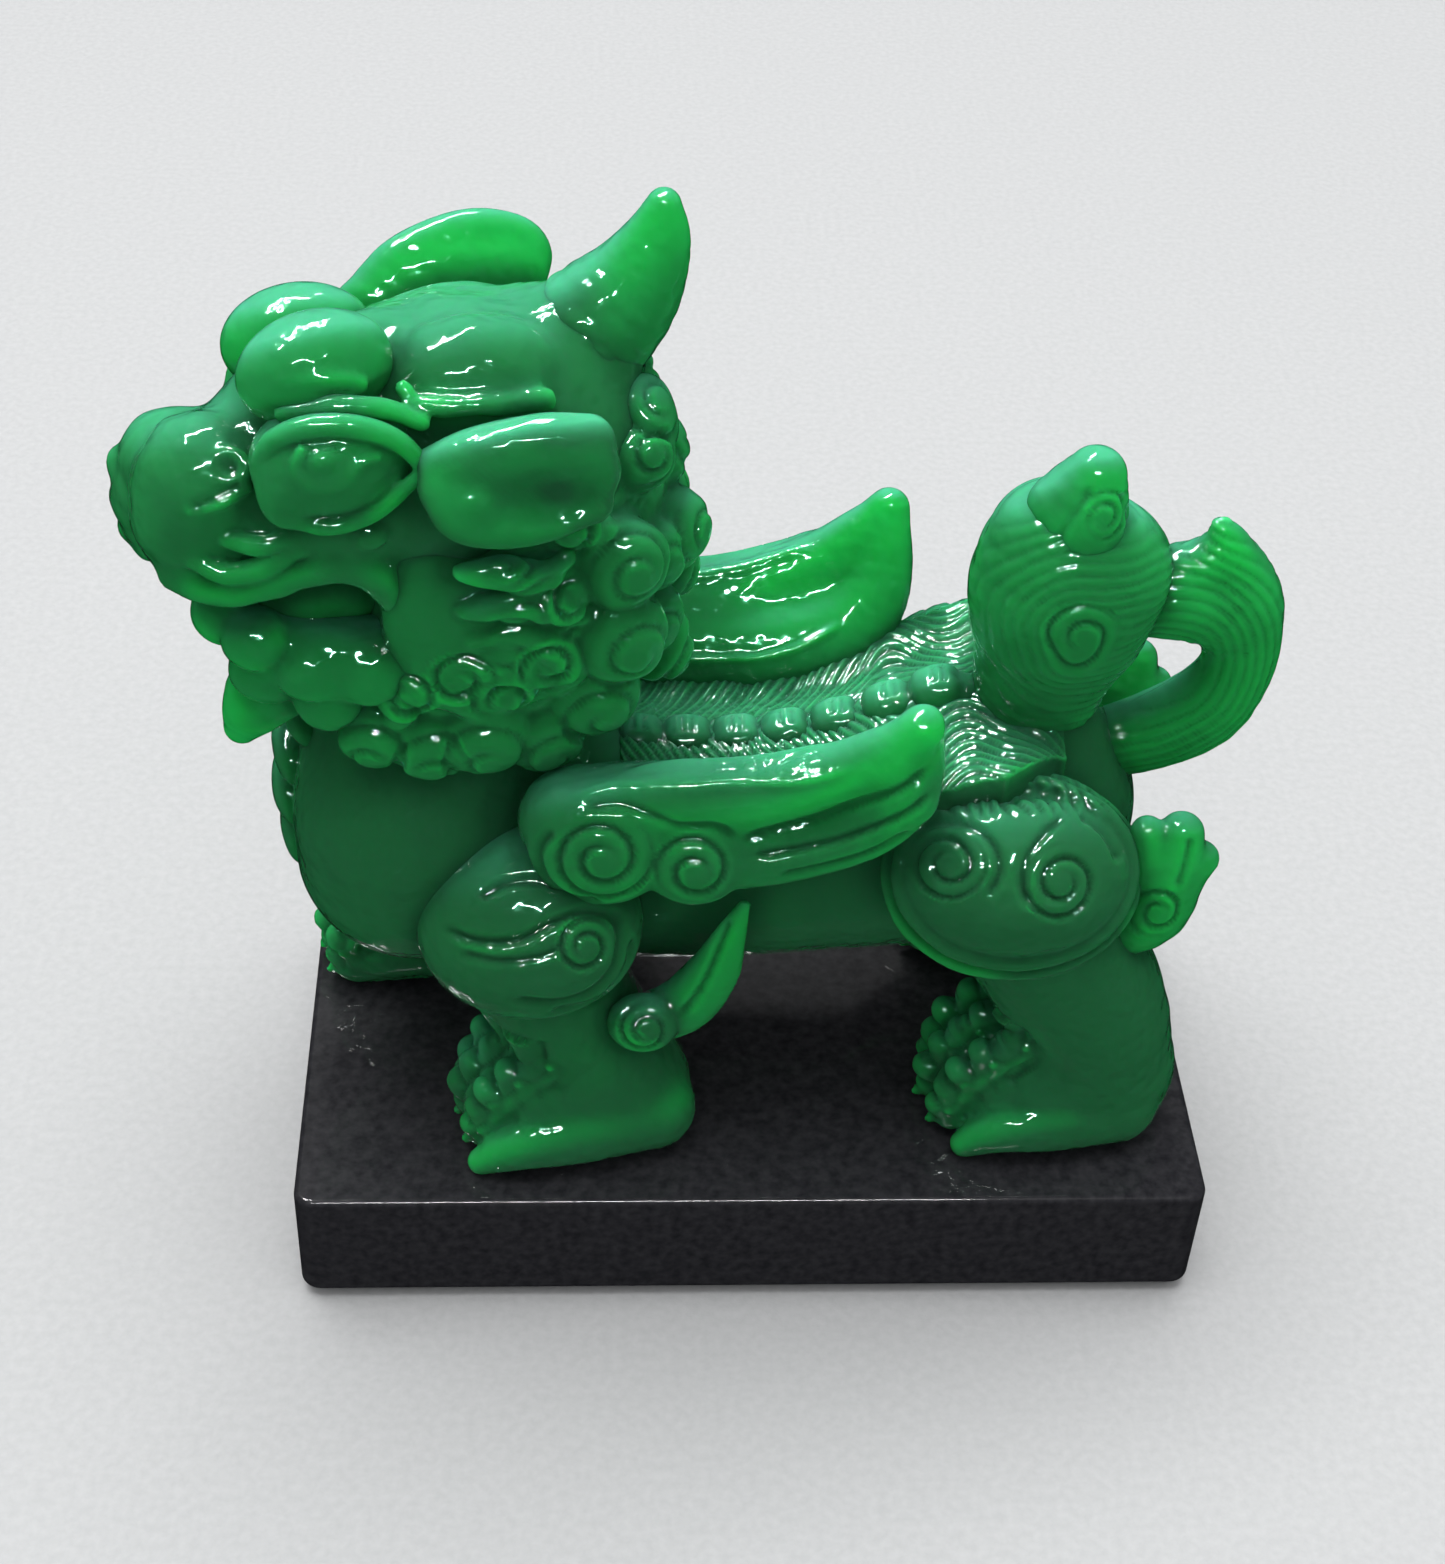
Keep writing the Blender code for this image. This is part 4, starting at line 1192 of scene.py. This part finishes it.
def eye_clay(side, low):
    """A bulging almond with rolled lids and a ringed pupil."""
    clay = Clay()
    s = side if side > 0 else 0.9 * side
    out = (0.12, 0.86 * side, 0.5)
    along = (0.98, -0.1 * side, -0.06)
    clay.head_egg(14.6, s * 10.3, 12.9 - low, (7.3, 4.6, 5.3), (along, out, np.cross(along, out) * side), 0.5)
    clay.rolls(LIDS, s, low)
    clay.head_egg(19.0, s * 11.6, 10.2 - low, (2.6, 2.4, 2.9), blend=1.2)
    clay.rolls(PUPIL_RING, s, low)
    clay.head_egg(15.6, s * 13.8, 14.9 - low, (1.5, 0.9, 1.2), blend=0.4)
    return clay


def brow_clay(side, low):
    clay = Clay()
    turn = ((0.98, 0.1 * side, -0.12), (-0.1 * side, 0.99, 0), (0.12, 0, 0.99))
    clay.head_egg(14.8, side * 5.4, 19.2 - low, (7.2, 5.0, 5.3), turn, 0.5)
    clay.rolls(BROW_FOLDS, side, low)
    return clay


# ---------------------------------------------------------------- mane
NECK = [
    (3, (-5.5, 0, 2, 14), (-3.5, 0, -6, 15.6), (-2, 0, -12, 15)),
    (3, (-2, 8, -8, 8), (5, 7, -12, 7.5)),
    (3, (-2, -8, -8, 8), (5, -7, -12, 7.5)),
    (3, (4, 0, -18, 11), (8, 0, -16, 9.6)),
]
ROLLS = [
    # forward, left, up and size of each roll on one side, from behind the ear down and forward to the chin
    (-14.6, 9.4, 7.6, 3.4), (-11.8, 13.2, -1, 4.7), (-11.6, 13.4, -9.4, 5.1), (-9.4, 12.6, -16.6, 4.9),
    (-4.6, 11.6, -21.4, 4.7), (1.2, 11.8, -19.8, 5), (6.6, 10.8, -21, 4.6), (11.6, 9.6, -19.8, 4.2),
    (-15.6, 9.4, -3.6, 3.8), (-15.8, 9, -11.6, 3.9),
]
CHEEK_CURLS = [
    # forward, left, up, radius and hand of the flat curls between the rolls
    (-6.6, 14.6, 4.6, 2.6, -1), (-6.2, 15, -3, 2.8, -1), (-4, 14.8, -10.4, 3.2, 1),
    (4.4, 13.8, -11.4, 3, -1), (0.4, 14.2, -14.2, 2.9, -1), (9.4, 12, -13.8, 2.8, 1),
]
MANE_SIDE = Stencil(HEAD_AT, LEFT + 0.3 * UP, -FORWARD)
# forward and up of each row of rolls down the back, which is shifted to one side and then the other
BACK_ROLLS = [(-15.4, 9.6), (-17.8, 3.4), (-19, -3.4), (-19.2, -10.4), (-17.8, -17.4)]
BACK_ROWS = (-5.6, 1.6)
LOCKS = [
    # short wavy locks of the near cheek, each thick in the middle
    [(4, 14.8, 1.6, 1), (0.4, 15.8, 1.4, 1.9), (-3.4, 15.8, 0.6, 1.7), (-6, 15, 1.4, 1)],
    [(3.6, 14.8, -3, 1), (-0.6, 15.8, -2.4, 1.9), (-4.8, 15.6, -3.4, 1.9), (-7.4, 14.8, -5.6, 1.2)],
    [(3, 14.8, -6.6, 1.2), (-1.4, 15.4, -6, 1.8), (-4.4, 15.2, -8, 2), (-6.4, 14.8, -11.4, 1.9),
     (-5.2, 14.2, -14, 1.3)],
    [(4.6, 14.2, -10.4, 1.4), (0.8, 14.8, -9.8, 2.1), (-2.2, 14.6, -12.2, 1.8), (-1, 14.4, -14.4, 1.4)],
    [(8.6, 12.8, -12.6, 1.6), (5.2, 13.6, -13.6, 2.1), (2.8, 13.6, -16, 1.6)],
    [(-7, 14.6, 5.4, 1.6), (-9.6, 14, 3.4, 1.9), (-9.2, 14.6, 0.4, 1.4)],
    [(11.6, 11.6, -12.6, 1.4), (9.8, 12.2, -15.6, 1.8), (10.6, 11.2, -18, 1.3)],
]


def back_places():
    """Forward, left and up of each roll down the back, and the hand of its curl."""
    for n, (f, u) in enumerate(BACK_ROLLS):
        for l in BACK_ROWS:
            yield f, l if n % 2 else -l, u, 1 if l > 0 else -1


def mane_clay():
    clay = Clay()
    clay.rolls(NECK)
    for side in (1, -1):
        # the jowl that hangs behind the corner of the mouth
        clay.head_egg(6.4, side * 11.6, -3.4, (4.6, 3.0, 6.6), blend=2.6)
        for lock in LOCKS:
            clay.stroke(on_head([(f, l + 0.1, u, 0.9 * r) for f, l, u, r in lock], side), 0.4)
        for f, l, u, r, _ in CHEEK_CURLS:
            clay.head_egg(f, side * (l - 0.6), u, (0.95 * r, 0.6 * r, 0.95 * r), blend=0.4)
        for f, l, u, r in ROLLS:
            clay.head_egg(f, side * l, u, (r, 0.85 * r, 1.04 * r), blend=0.4)
    for f, l, u, _ in back_places():
        clay.head_egg(f, l, u, (3.8, 4.4, 4.2), blend=0.4)
    return clay


def snail(points, normals, f, l, u, r, hand):
    """A snail's curl on one roll, drawn from outside it."""
    centre = head_point(f, l, u)
    near = np.nonzero(np.linalg.norm(points - centre, axis=1) < r + 2)[0]
    out = (f + 3) * 0.35 * FORWARD + l * LEFT + (u + 6) * 0.5 * UP
    a, b, shown = Stencil(centre, out, -FORWARD + 0.3 * LEFT).lay(points[near], normals[near], r + 2)
    change = np.zeros(len(points))
    change[near] = swirl(a, b, (0, 0), r, r * 0.5, 0.6, hand, 0.3 * f) * shown
    return change


def cheek_marks(points):
    """Fine wavy hair with flat curls in it, the same on both cheeks."""
    rel = points - HEAD_AT
    fore, up = rel @ FORWARD, rel @ UP
    flow = up + 1.2 * np.sin(fore / 1.7 + up / 3) + 1.9 * waver(points, 2.6, 13)
    marks = comb(flow / 2.6, 0.6) * (0.5 + 0.5 * waver(points, 2.0, 16)) * (1 - ease(fore, 1.0, 3.0))
    mirrored = rel - 2 * (rel @ LEFT)[:, None] * LEFT
    for f, l, u, radius, hand in CHEEK_CURLS:
        centre = f * FORWARD + l * LEFT + u * UP
        at = (centre @ MANE_SIDE.u, centre @ MANE_SIDE.v)
        for flat in (rel, mirrored):
            a, b = flat @ MANE_SIDE.u, flat @ MANE_SIDE.v
            near = (flat @ LEFT > 6) * (1 - ease(np.hypot(a - at[0], b - at[1]), radius * 0.9, radius * 1.15))
            curl = swirl(a, b, at, radius * 1.2, radius * 0.62, 0.9, hand, 0.2 * u) + 0.35
            marks = marks * (1 - near) + curl * near
    return marks * ease(np.abs(rel @ LEFT), 8, 11)


def carve_mane(points, normals):
    """Curls on the rolls, and hair on the bare skin between them."""
    bare = np.ones(len(points))
    change = 0.25 * waver(points, 1.7, 12)
    for side in (1, -1):
        for n, (f, l, u, r) in enumerate(ROLLS):
            change += snail(points, normals, f, side * l, u, r, side * (1 if n % 2 else -1))
            bare *= ease(np.linalg.norm(points - head_point(f, side * l, u), axis=1), r, r + 1.5)
    for f, l, u, hand in back_places():
        change += snail(points, normals, f, l, u, 4.0, hand)
    return change + cheek_marks(points) * bare


# ---------------------------------------------------------------- the whole figure
def body_sections():
    return [
        Section("torso", Clay(TORSO), 0.6, worn(0.1, 3.2, 1), "jade_deep", teal=0.5),
        Section("back_fur", fur_clay(), 0.28, carve_fur, "jade_deep", node="torso", teal=0.45),
        Section("spine_ridge", bead_clay(), 0.32, carve_beads),
        Section("chest_plates", chest_clay(), 0.4, worn(0.1, 1.8, 15)),
        Section("front_left_leg", fore_leg_clay(), 0.34, carve_shoulder, "jade_deep", teal=0.7),
        Section("hind_left_leg", hind_leg_clay(), 0.34, carve_haunch, "jade_deep", mirror="hind_right_leg",
                deep=0.08, teal=0.5),
        Section("front_left_tuft", fore_tuft_clay(), 0.36, carve_fore_tuft, mirror="front_right_tuft",
                shift=-7.0, deep=0.3),
        Section("hind_left_tuft", Clay(HOCK_LOBES), 0.36, carve_hock_tuft, mirror="hind_right_tuft"),
        Section("left_wing", wing_clay(), 0.38, carve_wing, "jade_bright", mirror="right_wing", deep=-0.12),
        Section("tail_plume", Clay(TAIL_PLUME), 0.34, carve_plume, "jade_bright", deep=-0.25, teal=1.3),
        Section("tail_flame", Clay(TAIL_FLAME), 0.34, carve_flame, "jade_bright", deep=-0.2, teal=2.2),
        Section("tail_curl", curl_clay(), 0.32, carve_curl, "jade_bright"),
    ]


def head_sections():
    return [
        Section("head", head_clay(), 0.4, carve_head, deep=-0.08, teal=0.65),
        Section("lower_jaw", jaw_clay(), 0.36, worn(0.14, 1.8, 9), deep=-0.28, teal=1.2),
        Section("horn", horn_clay(), 0.38, carve_horn, "jade_bright", teal=1.5),
        Section("left_ear", ear_clay(), 0.38, worn(0.08, 2.2, 11), "jade_bright", deep=0.5, teal=2.0),
        Section("right_ear", right_ear_clay(), 0.38, worn(0.08, 2.2, 11), "jade_bright", deep=-0.1, teal=1.4),
        Section("left_eye", eye_clay(1, 0), 0.3, deep=-0.2),
        Section("right_eye", eye_clay(-1, 4.8), 0.36, deep=-0.2),
        Section("left_brow", brow_clay(1, 0), 0.38, slot="jade_bright", deep=-0.25, teal=1.8),
        Section("right_brow", brow_clay(-1, 3.4), 0.38, slot="jade_bright", deep=-0.4, teal=1.6),
        Section("mane", mane_clay(), 0.4, carve_mane, "jade_deep", deep=-0.22),
    ]


# ---------------------------------------------------------------- plinth, floor, light, camera
CORNER_RADIUS = 2.2
EDGE_RADIUS = 0.7
FLOOR_REACH = 20.0
SUN_FROM = (-0.1, 0.16, 1)
SUN_POWER = 2.5
SUN_SPREAD = math.radians(50)
LAMPS_AIM = (0, 0, 0.06)
LAMPS = [
    # name, place, length and width, and power
    ("strip_back", (-0.16, 0.24, 0.62), (0.5, 0.009), 8.0),
    ("strip_front", (-0.16, 0.17, 0.64), (0.5, 0.009), 6.5),
    ("near", (-0.02, -0.42, 0.58), (0.3, 0.012), 6.0),
]
SKY_STRENGTH = 1.2
SKY = [
    # height, from the horizon to overhead, and colour
    (0.0, (0.56, 0.565, 0.575)),
    (0.06, (0.56, 0.565, 0.575)),
    (0.15, (0.26, 0.265, 0.27)),
    (0.35, (0.44, 0.45, 0.455)),
    (1.0, (1.0, 1.0, 1.0)),
]


def height(edge):
    return abs(edge.verts[0].co.z - edge.verts[1].co.z)


def make_plinth():
    """A lacquered slab with softly worn edges, and the felt under it."""
    mesh = bpy.data.meshes.new("plinth_slab")
    shape = bmesh.new()
    bmesh.ops.create_cube(shape, size=1)
    size = PLINTH_HIGH - PLINTH_LOW
    middle = (PLINTH_HIGH + PLINTH_LOW) / 2
    for vertex in shape.verts:
        vertex.co = Vector(a * b + c for a, b, c in zip(vertex.co, size, middle))
    upright = [edge for edge in shape.edges if height(edge) > size.z / 2]
    bmesh.ops.bevel(shape, geom=upright, offset=CORNER_RADIUS * UNIT, segments=8, profile=0.5, affect="EDGES")
    level = [edge for edge in shape.edges if height(edge) < 1e-5 and edge.calc_face_angle() > 1]
    bmesh.ops.bevel(shape, geom=level, offset=EDGE_RADIUS * UNIT, segments=5, profile=0.5, affect="EDGES")
    shape.to_mesh(mesh)
    shape.free()
    mesh.shade_smooth()
    mesh.materials.append(lacquer_material())
    slab = place("plinth_slab", mesh)
    slab.modifiers.new("weighted", "WEIGHTED_NORMAL").keep_sharp = True
    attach(slab, "root")
    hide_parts("plinth")
    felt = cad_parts["felt_pad"]
    felt.data.materials.clear()
    felt.data.materials.append(felt_material())


def add_floor():
    """A sheet of pale paper."""
    mesh = bpy.data.meshes.new("floor")
    corners = [(x * FLOOR_REACH, y * FLOOR_REACH, 0) for x, y in ((-1, -1), (1, -1), (1, 1), (-1, 1))]
    mesh.from_pydata(corners, [], [(0, 1, 2, 3)])
    mesh.materials.append(paper_material())
    floor = place("floor", mesh)
    floor.visible_glossy = False


def add_glint(name, at, size, power):
    """A long lamp aimed at the figure that only shows as a highlight in its polish."""
    data = bpy.data.lights.new(name, "AREA")
    data.shape = "RECTANGLE"
    data.size, data.size_y = size
    data.energy = power
    lamp = place(name, data)
    lamp.location = at
    lamp.rotation_euler = (Vector(LAMPS_AIM) - Vector(at)).to_track_quat("-Z", "Y").to_euler()
    lamp.visible_diffuse = False


def add_sky():
    """Soft light from all round, strongest overhead, that is not mirrored in the polish."""
    world = bpy.data.worlds.new("studio")
    world.use_nodes = True
    nodes = world.node_tree.nodes
    links = world.node_tree.links
    split = nodes.new("ShaderNodeSeparateXYZ")
    links.new(nodes.new("ShaderNodeTexCoord").outputs["Generated"], split.inputs[0])
    sky = nodes.new("ShaderNodeValToRGB")
    fill_ramp(sky, SKY)
    links.new(split.outputs["Z"], sky.inputs["Fac"])
    links.new(sky.outputs["Color"], nodes["Background"].inputs["Color"])
    nodes["Background"].inputs["Strength"].default_value = SKY_STRENGTH
    world.cycles_visibility.glossy = False
    bpy.context.scene.world = world


def add_lights():
    add_sky()
    data = bpy.data.lights.new("overhead", "SUN")
    data.energy = SUN_POWER
    data.angle = SUN_SPREAD
    sun = place("overhead", data)
    sun.rotation_euler = Vector(SUN_FROM).to_track_quat("Z", "Y").to_euler()
    sun.visible_glossy = False
    for name, at, size, power in LAMPS:
        add_glint(name, at, size, power)
    bpy.context.scene.view_settings.view_transform = "Standard"


# The camera, in hundredths of the plinth's length: a phone held above and in front of the animal's left side
CAMERA_AT = (-19.4, -212.0, 235.3)
CAMERA_DOWN = math.radians(40.89)
CAMERA_RIGHT = math.radians(4.22)
CAMERA_ROLL = math.radians(-2.94)
CAMERA_LENS = 59.85


def add_camera():
    data = bpy.data.cameras.new("camera")
    data.lens = CAMERA_LENS
    data.sensor_width = 36
    data.sensor_fit = "AUTO"
    data.clip_end = 50
    camera = place("camera", data)
    matrix = Matrix.Translation(Vector(CAMERA_AT) * UNIT + Vector((ORIGIN[0], ORIGIN[1], 0)))
    for angle, axis in ((-CAMERA_RIGHT, "Z"), (math.radians(90) - CAMERA_DOWN, "X"), (-CAMERA_ROLL, "Z")):
        matrix = matrix @ Matrix.Rotation(angle, 4, axis)
    camera.matrix_world = matrix
    bpy.context.scene.camera = camera


def main():
    right_leg = Section("front_right_leg", right_leg_clay(), 0.42, carve_right_shoulder, "jade_deep")
    make_sections(body_sections() + head_sections() + [right_leg], jade_material())
    make_plinth()
    add_floor()
    add_lights()
    add_camera()


main()
